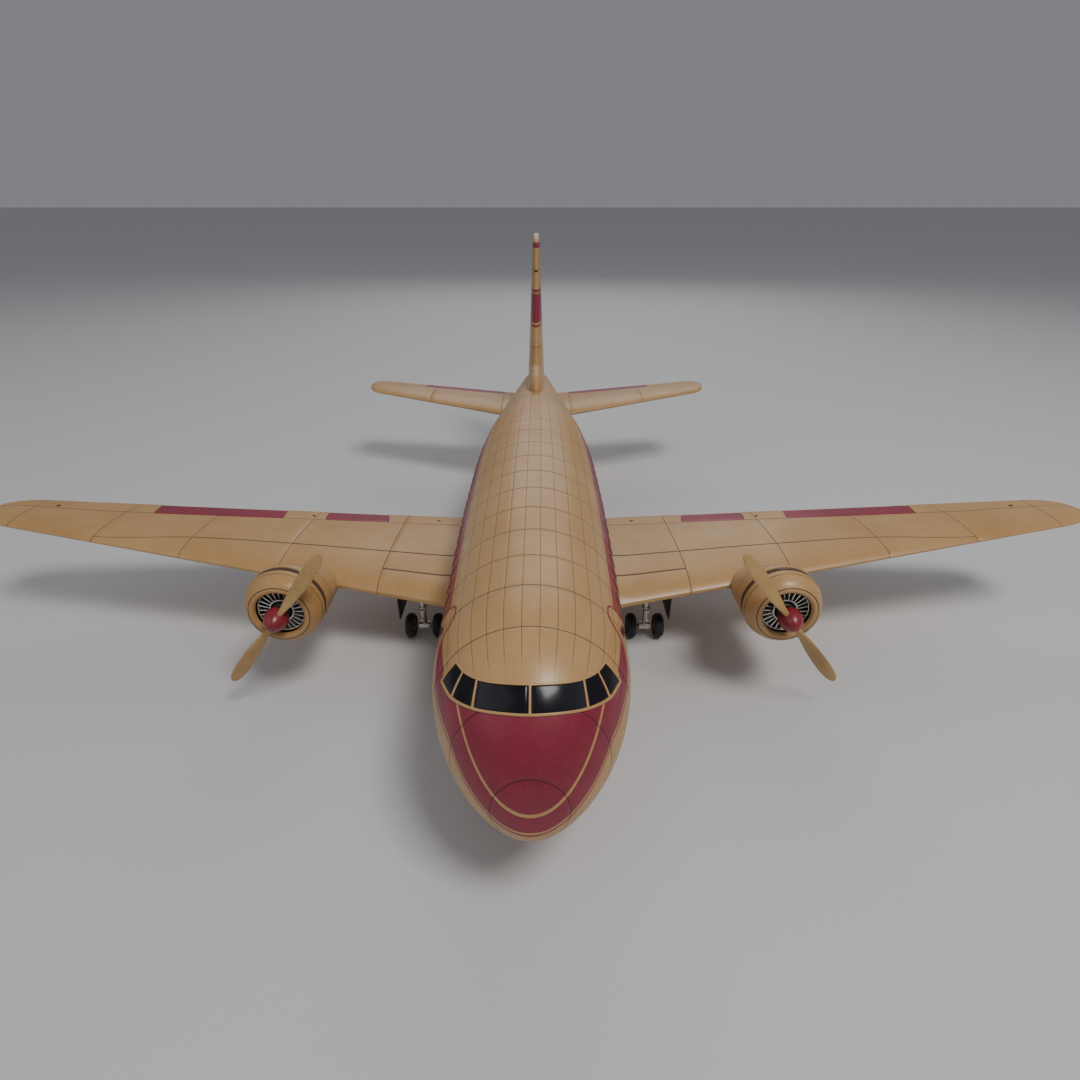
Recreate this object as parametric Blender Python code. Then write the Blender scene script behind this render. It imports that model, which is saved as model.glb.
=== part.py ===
"""Twin-engine propeller airliner, a desk display model at 1:50.

Frame: -Y out of the nose, +Z up, +X to the right as seen by someone standing before the nose.
Names that end in left or right also go by that view: left is -X.
The origin is under the middle of the model, on the surface that it stands on.
Lengths below are in millimetres and are multiplied by MM where a mesh is made.
"""
import math

import bmesh
import bpy
import numpy as np
from mathutils import Matrix, Vector

MM = 0.001
GAP = 0.3               # air between two pieces that touch on the real model
SIDES = (("left", -1), ("right", 1))

# fuselage
BODY_TOP = 90.0
BODY_BOTTOM = 22.5
NOSE_BASE = -164.0      # where the nose begins to round off
NOSE_LENGTH = 56.0
NOSE_HEIGHT = 40.5      # height of the drooped nose tip
NOSE_FULLNESS = 2.3     # exponent of the nose's upper outline
NOSE_ROUNDNESS = 2.1    # exponent of its outline in plan and beneath
RADOME_JOINT = -216.2
TAIL_CONE_JOINT = 203.0
TAIL_END = 219.95
WALL = 1.8
BODY_SIDES = 24
INNER_SIDES = 10
BODY_WIDTH = ((-164, 33.8), (-120, 35.0), (-75, 35.8), (-30, 35.7), (4, 34.8), (47, 31.3),
              (71, 27.2), (130, 17.0), (180, 9.8), (203, 6.2), (220, 1.6))
BODY_UPPER = ((-164, 90.0), (-30, 90.0), (40, 89.8), (80, 88.6), (130, 85.5), (180, 79.5),
              (203, 75.2), (220, 69.6))
BODY_LOWER = ((-164, 22.5), (-60, 22.5), (-30, 22.9), (4, 25.5), (70, 37.5), (130, 48.5),
              (180, 57.5), (203, 62.2), (220, 66.8))
WINDOW_PITCH = 10.07
WINDOW_COUNT = 17
WINDOW_FIRST = -139.0
WINDOW_LIFT = 20.0      # degrees above the widest line

# windscreen corners in plan, from the centre post outwards
SCREEN_TOP = ((0.0, -201.5), (15.4, -196.9), (19.9, -192.4), (22.5, -187.9))
SCREEN_FOOT = ((0.0, -207.9), (16.5, -203.0), (23.4, -196.3), (27.5, -188.1))
SCREEN_BORDER = 0.45
SCREEN_BAR = 0.9
SCREEN_CENTRE = (0.0, -178.0, 56.0)     # the point inside the nose that every pane's edges aim at
FRAME_DEPTH = 0.8
GLASS_DEPTH = 1.1
COCKPIT_WINDOW = (-164.5, 25.0, 11.0, 4.4)      # place, lift, width and height
CABIN_WINDOW = (5.0, 6.4)
STRIP_DEPTH = WALL + 1.1
SPAR = ((-66.0, -58.0, 33.6), (66.0, -50.0, 37.2))
PLATE = ((-11.7, -84.7, 22.2), (11.7, -45.3, 25.0))

# wing
WING_ROOT = 39.0
WING_TIP = 280.0
WING_BEND = 261.0       # where the tip starts to round off
WING_ROOT_HEIGHT = 34.0
WING_RISE = 0.112
FLAP_SPAN = (83.0, 117.0)
AILERON_SPAN = (139.0, 204.0)
CONTROL_CHORD = 12.5
PIN_RADIUS = 0.35
PIN_HOLE = 0.62
PIN_REACH = 4.0

# engines
ENGINE_X = 106.9
ENGINE_Z = 47.4
PROP_Y = -124.6
LIP_Y = -120.0
BLADE_RADIUS = 40.0
BLADE_ANGLE = math.radians(52.5)
BLADE_SECTIONS = ((2.0, 2.4, 2.0), (5.5, 2.6, 1.9), (11.0, 4.3, 1.7), (19.0, 5.9, 1.45), (28.0, 6.3, 1.2),
                  (35.0, 5.3, 1.0), (38.7, 3.1, 0.8), (BLADE_RADIUS, 1.2, 0.6))    # reach, chord, depth
ROOT_PITCH = 40.0       # degrees at the shaft line
PITCH_LOSS = 22.0       # degrees from the shaft line to the blade's tip
HUB_RADIUS = 3.3
HUB_HALF = 2.1
VANES = 24
VANE_REACH = (5.3, 9.8)
VANE_SPAN = (-117.3, -113.4)
NACELLE_SIDES = 18
# the nacelle's sections: place, half width, top and bottom
NACELLE_RINGS = ((-110.5, 14.6, 62.0, 32.8), (-109.2, 14.6, 62.0, 32.8), (-109.1, 16.4, 63.8, 31.0),
                 (-102.0, 16.2, 61.6, 30.8), (-93.0, 15.2, 56.0, 30.4), (-84.0, 13.6, 49.5, 30.2),
                 (-70.0, 11.8, 44.0, 30.4), (-50.0, 8.5, 42.0, 32.4), (-37.0, 4.4, 41.5, 36.2),
                 (-28.0, 1.0, 41.4, 39.4))
# turned profiles as (radius, distance) points
COWL_PROFILE = ((10.2, 1.4), (10.6, 0.2), (11.6, -0.2), (13.0, 0.2), (15.2, 2.6), (16.7, 7.0),
                (16.5, 9.2), (13.4, 9.2))
CASE_PROFILE = ((1.6, 0), (3.6, 0), (4.1, 1.0), (4.1, 6.0), (11.5, 6.0), (11.5, 7.4), (1.6, 7.4))
SPINNER_PROFILE = ((4.9, 0), (5.0, -1.4), (4.7, -4.0), (3.9, -6.8), (2.6, -9.4), (1.0, -11.2),
                   (0, -11.6), (0, -8.0), (2.2, -7.4), (3.9, -5.4), (4.1, 0))
CASE_FRONT = -118.2
SPINNER_BACK = -121.6
SHAFT_RADIUS = 1.3
SHAFT_SPAN = (-128.4, -105.6)
SHAFT_HOLE = 1.6

# undercarriage
TYRE_RADIUS = 6.4
TYRE_SIDES = 20
TYRE_WIDTH = 4.6
AXLE_Z = TYRE_RADIUS * math.cos(math.pi / TYRE_SIDES)
WHEEL_OFFSET = 7.0
MAIN_X = 57.0
MAIN_Y = -70.0
LEG_RADIUS = 1.8
LEG_TOP = 36.0
PISTON_RADIUS = 1.25
PISTON_TOP = 17.0
BOSS_RADIUS = 2.1
AXLE_HOLE = 1.1
BRACE_RADIUS = 0.9
DOOR_OFFSET = 10.4
DOOR_HALF = (0.45, 8.0)
DOOR_SPAN = (15.5, 30.6)
NOSE_WHEEL_Y = -180.0
NOSE_WHEEL_OFFSET = 4.6
NOSE_TYRE_RADIUS = 5.2
NOSE_TYRE_WIDTH = 3.6
NOSE_LEG_RADIUS = 1.6
NOSE_LEG_TOP = 29.0

# tail
TAIL_ROOT = 14.0
TAIL_BEND = 124.0
TAIL_TIP = 135.0
TAIL_HEIGHT = 61.5
TAIL_RISE = 0.055
ELEVATOR_SPAN = (28.0, 92.0)
FIN_BEND = 172.0
FIN_TOP = 180.5
RUDDER_FOOT = 90.0
RUDDER_FOOT_HINGE = 190.0
RUDDER_TOP_HINGE = 198.0
ELEVATOR_CHORDS = (12.0, 10.0)
FIN_WIDTH = ((74, 12.0), (90, 11.2), (134, 7.8), (172, 5.4), (181, 5.0))     # height and thickness
# the dorsal fairing's sections: place, half width and top
DORSAL_RINGS = ((79.0, 0.8, 90.3), (81.5, 3.0, 93.0), (87.0, 4.9, 96.6), (96.0, 5.8, 99.4),
                (108.0, 6.2, 100.6), (125.0, 5.8, 99.0), (145.0, 5.2, 95.0), (165.0, 4.4, 88.0))

MATERIALS = {
    "cream_paint": ((0.62, 0.46, 0.27), 0.0, 0.38),
    "crimson_paint": ((0.28, 0.02, 0.04), 0.0, 0.36),
    "dark_glass": ((0.02, 0.025, 0.04), 0.0, 0.12),
    "ochre_blade": ((0.50, 0.30, 0.12), 0.0, 0.35),
    "polished_metal": ((0.72, 0.70, 0.66), 1.0, 0.22),
    "dark_metal": ((0.06, 0.055, 0.05), 0.6, 0.45),
    "tyre_rubber": ((0.03, 0.03, 0.033), 0.0, 0.75),
    "steel": ((0.42, 0.42, 0.43), 1.0, 0.4),
}


def clear_scene():
    for item in list(bpy.data.objects):
        bpy.data.objects.remove(item, do_unlink=True)


def material(name):
    made = bpy.data.materials.get(name)
    if made:
        return made
    colour, metallic, roughness = MATERIALS[name]
    made = bpy.data.materials.new(name)
    made.use_nodes = True
    shader = made.node_tree.nodes["Principled BSDF"]
    shader.inputs["Base Color"].default_value = (*colour, 1.0)
    shader.inputs["Metallic"].default_value = metallic
    shader.inputs["Roughness"].default_value = roughness
    return made


def place(bm, name, finish, pivot=(0, 0, 0)):
    """Turn a bmesh in model millimetres into a named object whose origin is the pivot."""
    bmesh.ops.recalc_face_normals(bm, faces=bm.faces)
    bmesh.ops.translate(bm, verts=bm.verts, vec=-Vector(pivot))
    bmesh.ops.scale(bm, verts=bm.verts, vec=(MM, MM, MM))
    mesh = bpy.data.meshes.new(name)
    bm.to_mesh(mesh)
    bm.free()
    mesh.shade_smooth()
    mesh.set_sharp_from_angle(angle=math.radians(35))
    mesh.materials.append(material(finish))
    item = bpy.data.objects.new(name, mesh)
    item.location = Vector(pivot) * MM
    bpy.context.scene.collection.objects.link(item)
    return item


def boolean(target, cutters, operation="DIFFERENCE"):
    """Cut or join closed helpers into a piece, then drop them."""
    for cutter in cutters:
        cutter.hide_render = True
        cutter.display_type = "WIRE"
        modifier = target.modifiers.new("joinery", "BOOLEAN")
        modifier.solver = "EXACT"
        modifier.operation = operation
        modifier.object = cutter
    bpy.context.view_layer.update()
    depsgraph = bpy.context.evaluated_depsgraph_get()
    mesh = bpy.data.meshes.new_from_object(target.evaluated_get(depsgraph))
    mesh.name = target.name
    target.modifiers.clear()
    target.data = mesh
    mesh.set_sharp_from_angle(angle=math.radians(35))
    for cutter in cutters:
        bpy.data.objects.remove(cutter, do_unlink=True)
    return target


def loft(rings):
    """Skin a row of rings that have the same number of points, and close both ends."""
    bm = bmesh.new()
    rows = [[bm.verts.new(point) for point in ring] for ring in rings]
    count = len(rows[0])
    for first, second in zip(rows, rows[1:]):
        for i in range(count):
            j = (i + 1) % count
            bm.faces.new((first[i], first[j], second[j], second[i]))
    bm.faces.new(reversed(rows[0]))
    bm.faces.new(rows[-1])
    return bm


def turned(profile, centre, axis="Y", sides=24, turn=0.0):
    """A closed solid of revolution from (radius, distance) points about an axis through centre."""
    bm = bmesh.new()
    axis_vector = Vector((0, 1, 0)) if axis == "Y" else Vector((1, 0, 0))
    if axis == "Z":
        axis_vector = Vector((0, 0, 1))
    out = Vector((0, 0, 1)) if axis != "Z" else Vector((1, 0, 0))
    points = [bm.verts.new(Vector(centre) + out * r + axis_vector * t) for r, t in profile]
    edges = [bm.edges.new((points[i], points[(i + 1) % len(points)])) for i in range(len(points))]
    if turn:
        bmesh.ops.rotate(bm, verts=bm.verts, cent=centre, matrix=Matrix.Rotation(turn, 3, axis_vector))
    bmesh.ops.spin(bm, geom=points + edges, cent=centre, axis=axis_vector, steps=sides,
                   angle=math.tau, use_merge=True, use_duplicate=False)
    bmesh.ops.remove_doubles(bm, verts=bm.verts, dist=1e-4)
    loose = [edge for edge in bm.edges if not edge.link_faces]
    bmesh.ops.delete(bm, geom=loose, context="EDGES")
    return bm


def rod(start, end, radius, sides=12, end_radius=None):
    """A closed round bar between two points."""
    start = Vector(start)
    end = Vector(end)
    bm = bmesh.new()
    bmesh.ops.create_cone(bm, cap_ends=True, segments=sides, radius1=radius,
                          radius2=end_radius or radius, depth=(end - start).length)
    turn = (end - start).to_track_quat("Z", "Y").to_matrix().to_4x4()
    bmesh.ops.transform(bm, matrix=Matrix.Translation((start + end) / 2) @ turn, verts=bm.verts)
    return bm


def block(low, high):
    """A closed box between two corners."""
    bm = bmesh.new()
    bmesh.ops.create_cube(bm, size=1.0)
    low = Vector(low)
    high = Vector(high)
    bmesh.ops.scale(bm, verts=bm.verts, vec=high - low)
    bmesh.ops.translate(bm, verts=bm.verts, vec=(low + high) / 2)
    return bm


def helper(bm):
    return place(bm, "helper", "steel")


def curve(stations, y):
    """A smooth line through a few (position, value) stations."""
    positions = [station[0] for station in stations]
    values = [station[1] for station in stations]
    slopes = np.gradient(values, positions)
    i = min(max(int(np.searchsorted(positions, y)) - 1, 0), len(positions) - 2)
    span = positions[i + 1] - positions[i]
    t = min(max((y - positions[i]) / span, 0.0), 1.0)
    start = (1 + 2 * t) * (1 - t) ** 2 * values[i] + t * (1 - t) ** 2 * span * slopes[i]
    end = t * t * (3 - 2 * t) * values[i + 1] + t * t * (t - 1) * span * slopes[i + 1]
    return start + end


def section(y, inset=0.0):
    """Half width, top and bottom of the fuselage at y, for its outer skin or a skin inside it."""
    if y < NOSE_BASE:
        u = min((NOSE_BASE - y) / (NOSE_LENGTH - inset), 0.99999)
        width = BODY_WIDTH[0][1] - inset
        round_part = (1 - u ** NOSE_ROUNDNESS) ** (1 / NOSE_ROUNDNESS)
        upper = (1 - u ** NOSE_FULLNESS) ** (1 / NOSE_FULLNESS)
        top = NOSE_HEIGHT + (BODY_TOP - NOSE_HEIGHT - inset) * upper
        bottom = NOSE_HEIGHT - (NOSE_HEIGHT - BODY_BOTTOM - inset) * round_part
        return width * round_part, top, bottom
    return curve(BODY_WIDTH, y) - inset, curve(BODY_UPPER, y) - inset, curve(BODY_LOWER, y) + inset


def skin_point(y, degrees, inset=0.0):
    """A point on the skin at an angle up from the widest line; 90 is the top, +X is 0."""
    width, top, bottom = section(y, inset)
    angle = math.radians(degrees)
    middle = (top + bottom) / 2
    return Vector((width * math.cos(angle), y, middle + (top - bottom) / 2 * math.sin(angle)))


def skin_over(x, y):
    """The point of the upper skin over a plan position."""
    width, top, bottom = section(y)
    middle = (top + bottom) / 2
    rise = math.sqrt(max(1 - (x / width) ** 2, 0.0))
    return Vector((x, y, middle + (top - bottom) / 2 * rise))


def body_stations(first, last):
    nose = [NOSE_BASE - NOSE_LENGTH * math.sin(math.radians(a)) for a in (62, 54, 45, 36, 27, 18, 9)]
    straight = [-164, -120, -75, -30, 4, 47, 71, 100, 130, 155, 180, TAIL_CONE_JOINT, 212]
    inside = [y for y in nose + straight if first + 1 < y < last - 1]
    return [first] + inside + [last]


def whole_body(inset, first=NOSE_BASE - NOSE_LENGTH + 0.02, last=TAIL_END, sides=BODY_SIDES):
    """The closed outer form of the fuselage, used for trimming its neighbours."""
    rings = []
    for y in body_stations(first, last):
        rings.append([skin_point(y, 360 * i / sides, inset) for i in range(sides)])
    return loft(rings)


def half_shell(upper):
    """One half of the fuselage: an outer arc, an inner arc and a flat rim along each side."""
    sign = 1 if upper else -1
    rings = []
    for y in body_stations(RADOME_JOINT + GAP / 2, TAIL_CONE_JOINT - GAP / 2):
        ring = []
        for inset, steps, way in ((0.0, BODY_SIDES // 2, 1), (WALL, INNER_SIDES, -1)):
            width, top, bottom = section(y, inset)
            middle = (top + bottom) / 2 + sign * GAP / 2
            height = (top if upper else bottom) - middle
            for i in range(steps + 1)[::way]:
                angle = math.pi * i / steps
                ring.append((width * math.cos(angle), y, middle + height * math.sin(angle)))
        rings.append(ring)
    return loft(rings)


def shrink(corners, amount):
    """Move each corner of a nearly flat outline inwards by the same border."""
    middle = sum(corners, Vector()) / len(corners)
    moved = []
    for i, corner in enumerate(corners):
        back = (corners[i - 1] - corner).normalized()
        ahead = (corners[(i + 1) % len(corners)] - corner).normalized()
        inward = (back + ahead).normalized()
        if inward.dot(middle - corner) < 0:
            inward = -inward
        half = math.acos(max(-1.0, min(1.0, back.dot(ahead)))) / 2
        moved.append(corner + inward * amount / max(math.sin(half), 0.3))
    return moved


def wedge(corners, centre):
    """A cutter that flares out from a point inside the body through an outline on its skin."""
    centre = Vector(centre)
    return loft([[centre + (corner - centre) * scale for corner in corners] for scale in (0.7, 1.25)])


def screen_cells():
    """Corner points of the six windscreen panes, before the bars are taken off."""
    cells = []
    for side in (-1, 1):
        for i in range(3):
            outline = (SCREEN_TOP[i], SCREEN_TOP[i + 1], SCREEN_FOOT[i + 1], SCREEN_FOOT[i])
            cells.append([skin_over(side * x, y) for x, y in outline])
    return cells


def screen_outline():
    points = [skin_over(-x, y) for x, y in reversed(SCREEN_TOP[1:])]
    points += [skin_over(x, y) for x, y in SCREEN_TOP]
    points += [skin_over(x, y) for x, y in reversed(SCREEN_FOOT)]
    points += [skin_over(-x, y) for x, y in SCREEN_FOOT[1:]]
    return points


def screen_layer(outer, inner):
    """The part of the nose skin between two depths, around the windscreen only."""
    nose = helper(whole_body(outer, last=-170))
    hollow = helper(whole_body(inner, last=-165))
    return boolean(nose, [hollow])


def screen_wedges(amount):
    return [helper(wedge(shrink(cell, amount), SCREEN_CENTRE)) for cell in screen_cells()]


def windscreen():
    """The windscreen frame, set flush in the nose, with one glazing sheet behind its six openings."""
    for name, finish, outer, inner in (("windscreen_frame", "cream_paint", 0.0, FRAME_DEPTH),
                                       ("windscreen_glass", "dark_glass", GLASS_DEPTH, WALL)):
        piece = screen_layer(outer, inner)
        outline = screen_wedges(-SCREEN_BORDER)
        hull = boolean(outline[0], outline[1:], "UNION")
        boolean(piece, [hull], "INTERSECT")
        if name == "windscreen_frame":
            boolean(piece, screen_wedges(SCREEN_BAR / 2))
        piece.name = name
        piece.data.name = name
        piece.data.materials.clear()
        piece.data.materials.append(material(finish))


def side_windows(side):
    """Place, width and height of each opening along one side of the cabin."""
    windows = [COCKPIT_WINDOW]
    for i in range(WINDOW_COUNT):
        windows.append((WINDOW_FIRST + WINDOW_PITCH * i, WINDOW_LIFT, *CABIN_WINDOW))
    return [(y, lift if side > 0 else 180 - lift, wide, high) for y, lift, wide, high in windows]


def window_blocks(side, grow, low, high):
    """Small blocks that pass through the cabin wall between two depths, at every window."""
    joined = bmesh.new()
    for y, lift, wide, tall in side_windows(side):
        outer = skin_point(y, lift)
        above = skin_point(y, lift + 2)
        up = (above - outer).normalized() * side
        out = Vector((0, 1, 0)).cross(up) * side
        if out.x * side < 0:
            out = -out
        corners = []
        for depth in (low, high):
            ring = []
            for across, rise in ((-1, -1), (1, -1), (1, 1), (-1, 1)):
                shift = Vector((0, across * (wide / 2 + grow), 0)) + up * rise * (tall / 2 + grow)
                ring.append(outer - out * depth + shift)
            corners.append(ring)
        piece = loft(corners)
        mesh = bpy.data.meshes.new("block")
        bmesh.ops.recalc_face_normals(piece, faces=piece.faces)
        piece.to_mesh(mesh)
        piece.free()
        joined.from_mesh(mesh)
        bpy.data.meshes.remove(mesh)
    return helper(joined)


def window_strip(name, side):
    """A clear moulding behind the cabin wall, with a raised pane in each opening."""
    depth = STRIP_DEPTH
    rings = []
    for y in (-173, -120, -75, -30, 4, 30):
        lifts = [WINDOW_LIFT + step for step in (-12, -4, 4, 12)]
        lifts = [lift if side > 0 else 180 - lift for lift in lifts]
        ring = [skin_point(y, lift, depth) for lift in lifts]
        ring += [skin_point(y, lift, depth + 1.0) for lift in reversed(lifts)]
        rings.append(ring)
    strip = place(loft(rings), name, "dark_glass")
    boolean(strip, [window_blocks(side, 0.0, 0.5, depth + 0.6)], "UNION")


def spar_box(grow):
    """Corners of the wing spar, or of the slot that it slides into."""
    margin = Vector((grow, grow, grow))
    return Vector(SPAR[0]) - margin, Vector(SPAR[1]) + margin


def fuselage():
    upper = place(half_shell(True), "fuselage_upper", "cream_paint")
    boolean(upper, screen_wedges(-SCREEN_BORDER - GAP))
    boolean(upper, [window_blocks(side, GAP, -3.0, WALL + 2.5) for _, side in SIDES])
    boolean(upper, [helper(block((-1.5, 149.7, 70), (1.5, 175.3, 90)))])
    lower = place(half_shell(False), "fuselage_lower", "cream_paint")
    boolean(lower, [
        helper(block(*spar_box(GAP))),
        helper(block((-30, 139.7, 60.0), (30, 150.3, 63.0))),
        helper(rod((0, NOSE_WHEEL_Y, 10), (0, NOSE_WHEEL_Y, 32), 2.0)),
        helper(block((-12, -85, 10), (12, -45, 28))),
    ])
    windscreen()
    for name, side in SIDES:
        window_strip("window_strip_" + name, side)


def nose_and_tail_caps():
    rings = []
    for y in (-219.95, -219.4, -218.2, RADOME_JOINT - GAP / 2):
        rings.append([skin_point(y, 360 * i / BODY_SIDES) for i in range(BODY_SIDES)])
    place(loft(rings), "radome", "cream_paint")
    rings = []
    for y in (TAIL_CONE_JOINT + GAP / 2, 212, 217, TAIL_END):
        rings.append([skin_point(y, 360 * i / BODY_SIDES) for i in range(BODY_SIDES)])
    place(loft(rings), "tail_cone", "cream_paint")


def inner_structure():
    """Everything that the shells hide: the ballast, its bulkhead, the wing spar and the stand plate."""
    rings = []
    for y in (-163.4, -161.4):
        rings.append([skin_point(y, 360 * i / BODY_SIDES, WALL + 2.4) for i in range(BODY_SIDES)])
    place(loft(rings), "nose_bulkhead", "steel")
    place(rod((0, -205, 50), (0, -163.7, 50), 17.0, sides=20), "nose_ballast", "steel")
    place(block(*spar_box(0)), "wing_spar", "steel")
    plate = place(block(*PLATE), "belly_plate", "dark_metal")
    boolean(plate, [helper(rod((x, -54, 24), (x, -54, 33.3), 2.5)) for x in (-6, 6)], "UNION")


def aerofoil(lead, trail, thickness, steps=7):
    """Closed outline of (position, height) from the trailing edge over the top and back beneath."""
    chord = trail - lead
    outline = []
    for i in range(2 * steps + 2):
        over = i <= steps
        k = i if over else 2 * steps + 1 - i
        x = (1 + math.cos(math.pi * k / steps)) / 2
        if not over and k == steps:
            continue
        shape = 0.2969 * math.sqrt(x) - 0.1260 * x - 0.3516 * x ** 2 + 0.2843 * x ** 3 - 0.1015 * x ** 4
        height = 5 * thickness * shape + 0.18 * x
        outline.append((lead + chord * x, height if over else -height))
    return outline


def wing_lead(x):
    return -94.0 + (x - WING_ROOT) * 0.1507


def wing_trail(x):
    return -0.5 - (x - WING_ROOT) * 0.1294


def wing_height(x):
    return WING_ROOT_HEIGHT + (x - WING_ROOT) * WING_RISE


def wing_depth(x):
    """Largest thickness of the wing, thinning from 13% of the chord at the root to 10% at the tip."""
    ratio = 0.13 - 0.03 * (x - WING_ROOT) / (WING_TIP - WING_ROOT)
    return ratio * (wing_trail(x) - wing_lead(x))


def tapered(x, bend, tip, lead, trail, depth, pull):
    """Leading edge, trailing edge and thickness at x, with the tip rounded in plan."""
    if x <= bend:
        return lead(x), trail(x), depth(x)
    u = (x - bend) / (tip - bend)
    keep = math.sqrt(max(1 - u * u, 0.0))
    front = lead(x)
    back = trail(x)
    middle = front + (back - front) * pull
    return middle + (front - middle) * keep, middle + (back - middle) * keep, depth(x) * keep


def wing_form(side, first=12.0):
    rings = []
    for x in (first, WING_ROOT, 74, 123, 172, 217, WING_BEND, 269, 275, 278.5, 279.8):
        lead, trail, depth = tapered(x, WING_BEND, WING_TIP, wing_lead, wing_trail, wing_depth, 0.42)
        rings.append([(side * x, y, wing_height(x) + h) for y, h in aerofoil(lead, trail, depth)])
    return loft(rings)


def half_depth(lead, trail, thickness, y):
    """Half thickness of an aerofoil at y."""
    x = (y - lead) / (trail - lead)
    shape = 0.2969 * math.sqrt(x) - 0.1260 * x - 0.3516 * x ** 2 + 0.2843 * x ** 3 - 0.1015 * x ** 4
    return 5 * thickness * shape + 0.18 * x


def hinge_frame(start, end, normal):
    along = (end - start).normalized()
    up = (normal - along * normal.dot(along)).normalized()
    aft = along.cross(up)
    return along, up, aft if aft.y > 0 else -aft


def control_rings(start, end, normal, radii, chords, trim, thick_tail):
    """Two teardrop outlines, round about the hinge line, at right angles to it."""
    along, up, aft = hinge_frame(start, end, normal)
    rings = []
    for point, radius, chord, way in ((start, radii[0], chords[0], 1), (end, radii[1], chords[1], -1)):
        centre = point + along * trim * way
        tail = radius if thick_tail else 0.18
        ring = [centre + aft * chord + up * tail]
        for i in range(7):
            angle = math.pi / 2 + math.pi * i / 6
            ring.append(centre + aft * radius * math.cos(angle) + up * radius * math.sin(angle))
        ring.append(centre + aft * chord - up * tail)
        rings.append(ring)
    return rings


def control_surface(name, host, hinge, normal, radii, chords, finish="crimson_paint"):
    """A hinged surface in its host: the cove, the surface, and a pin through both."""
    start, end = (Vector(point) for point in hinge)
    normal = Vector(normal)
    along, up, _ = hinge_frame(start, end, normal)
    cove = [radius + 0.4 for radius in radii]
    clear = control_rings(start, end, normal, cove, [chord + 4 for chord in chords], 0.0, True)
    for ring in clear:
        for i in (0, -1):
            sign = 1 if i == 0 else -1
            ring[i] = ring[i] + up * sign * 1.5
    reach = along * PIN_REACH
    boolean(host, [helper(loft(clear)), helper(rod(start - reach * 1.15, end + reach * 1.15, PIN_HOLE, 8))])
    rings = control_rings(start, end, normal, radii, chords, GAP, False)
    surface = place(loft(rings), name, finish, pivot=(start + end) / 2)
    boolean(surface, [helper(rod(start - along, end + along, PIN_HOLE, 8))])
    place(rod(start - reach, end + reach, PIN_RADIUS, 8), name + "_pin", "steel")


def wing_hinge(side, span, shrinkage=0.97):
    """Hinge line and nose radii of a surface that fills a span of the trailing edge."""
    points = []
    radii = []
    for x in span:
        y = wing_trail(x) - CONTROL_CHORD
        points.append((side * x, y, wing_height(x)))
        radii.append(half_depth(wing_lead(x), wing_trail(x), wing_depth(x), y) * shrinkage)
    return points, radii


def wings():
    for name, side in SIDES:
        wing = place(wing_form(side), "wing_" + name, "cream_paint")
        boolean(wing, [helper(whole_body(-GAP))])
        boolean(wing, [helper(block(*spar_box(GAP)))])
        boolean(wing, [helper(rod((side * MAIN_X, MAIN_Y, 24), (side * MAIN_X, MAIN_Y, 36.3), 2.1))])
        for part, span in (("flap_", FLAP_SPAN), ("aileron_", AILERON_SPAN)):
            hinge, radii = wing_hinge(side, span)
            chord = CONTROL_CHORD * 0.985
            control_surface(part + name, wing, hinge, (0, 0, 1), radii, (chord, chord))


def nacelle(name, side):
    """The body behind the cowl: it closes over the wing's leading edge and fades out beneath."""
    x = side * ENGINE_X
    rings = []
    for y, width, top, bottom in NACELLE_RINGS:
        middle = (top + bottom) / 2
        ring = []
        for i in range(NACELLE_SIDES):
            angle = math.tau * i / NACELLE_SIDES
            ring.append((x + width * math.cos(angle), y, middle + (top - bottom) / 2 * math.sin(angle)))
        rings.append(ring)
    body = place(loft(rings), name, "cream_paint")
    boolean(body, [helper(wing_shape_grown(side))])
    boolean(body, [helper(rod((x, -112, ENGINE_Z), (x, -105, ENGINE_Z), SHAFT_HOLE))])


def wing_shape_grown(side):
    """The wing's outer form with the usual gap around it, near the nacelle."""
    rings = []
    for x in (74.0, 123.0, 172.0):
        lead, trail, depth = wing_lead(x) - 2 * GAP, wing_trail(x) + GAP, wing_depth(x)
        ring = []
        for y, h in aerofoil(lead, trail, depth):
            lift = math.copysign(GAP, h) if h else 0.0
            ring.append((side * x, y, wing_height(x) + h + lift))
        rings.append(ring)
    return loft(rings)


def cowl(name, x):
    place(turned(COWL_PROFILE, (x, LIP_Y, ENGINE_Z), sides=20), name, "cream_paint")


def vane_ring(name, x):
    """Radial cooling vanes on a hub ring."""
    rings = []
    root, end = VANE_REACH
    for y in VANE_SPAN:
        ring = []
        for i in range(VANES):
            angle = math.tau * i / VANES
            for radius, half in ((root, -0.25), (end, -0.25), (end, 0.25), (root, 0.25)):
                turn = angle + math.atan2(half, radius)
                ring.append((x + radius * math.cos(turn), y, ENGINE_Z + radius * math.sin(turn)))
        rings.append(ring)
    ring = place(loft(rings), name, "polished_metal")
    boolean(ring, [helper(rod((x, -120, ENGINE_Z), (x, -111, ENGINE_Z), 4.4, 16))])


def engine_case(name, x):
    place(turned(CASE_PROFILE, (x, CASE_FRONT, ENGINE_Z), sides=16), name, "dark_metal")


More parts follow.
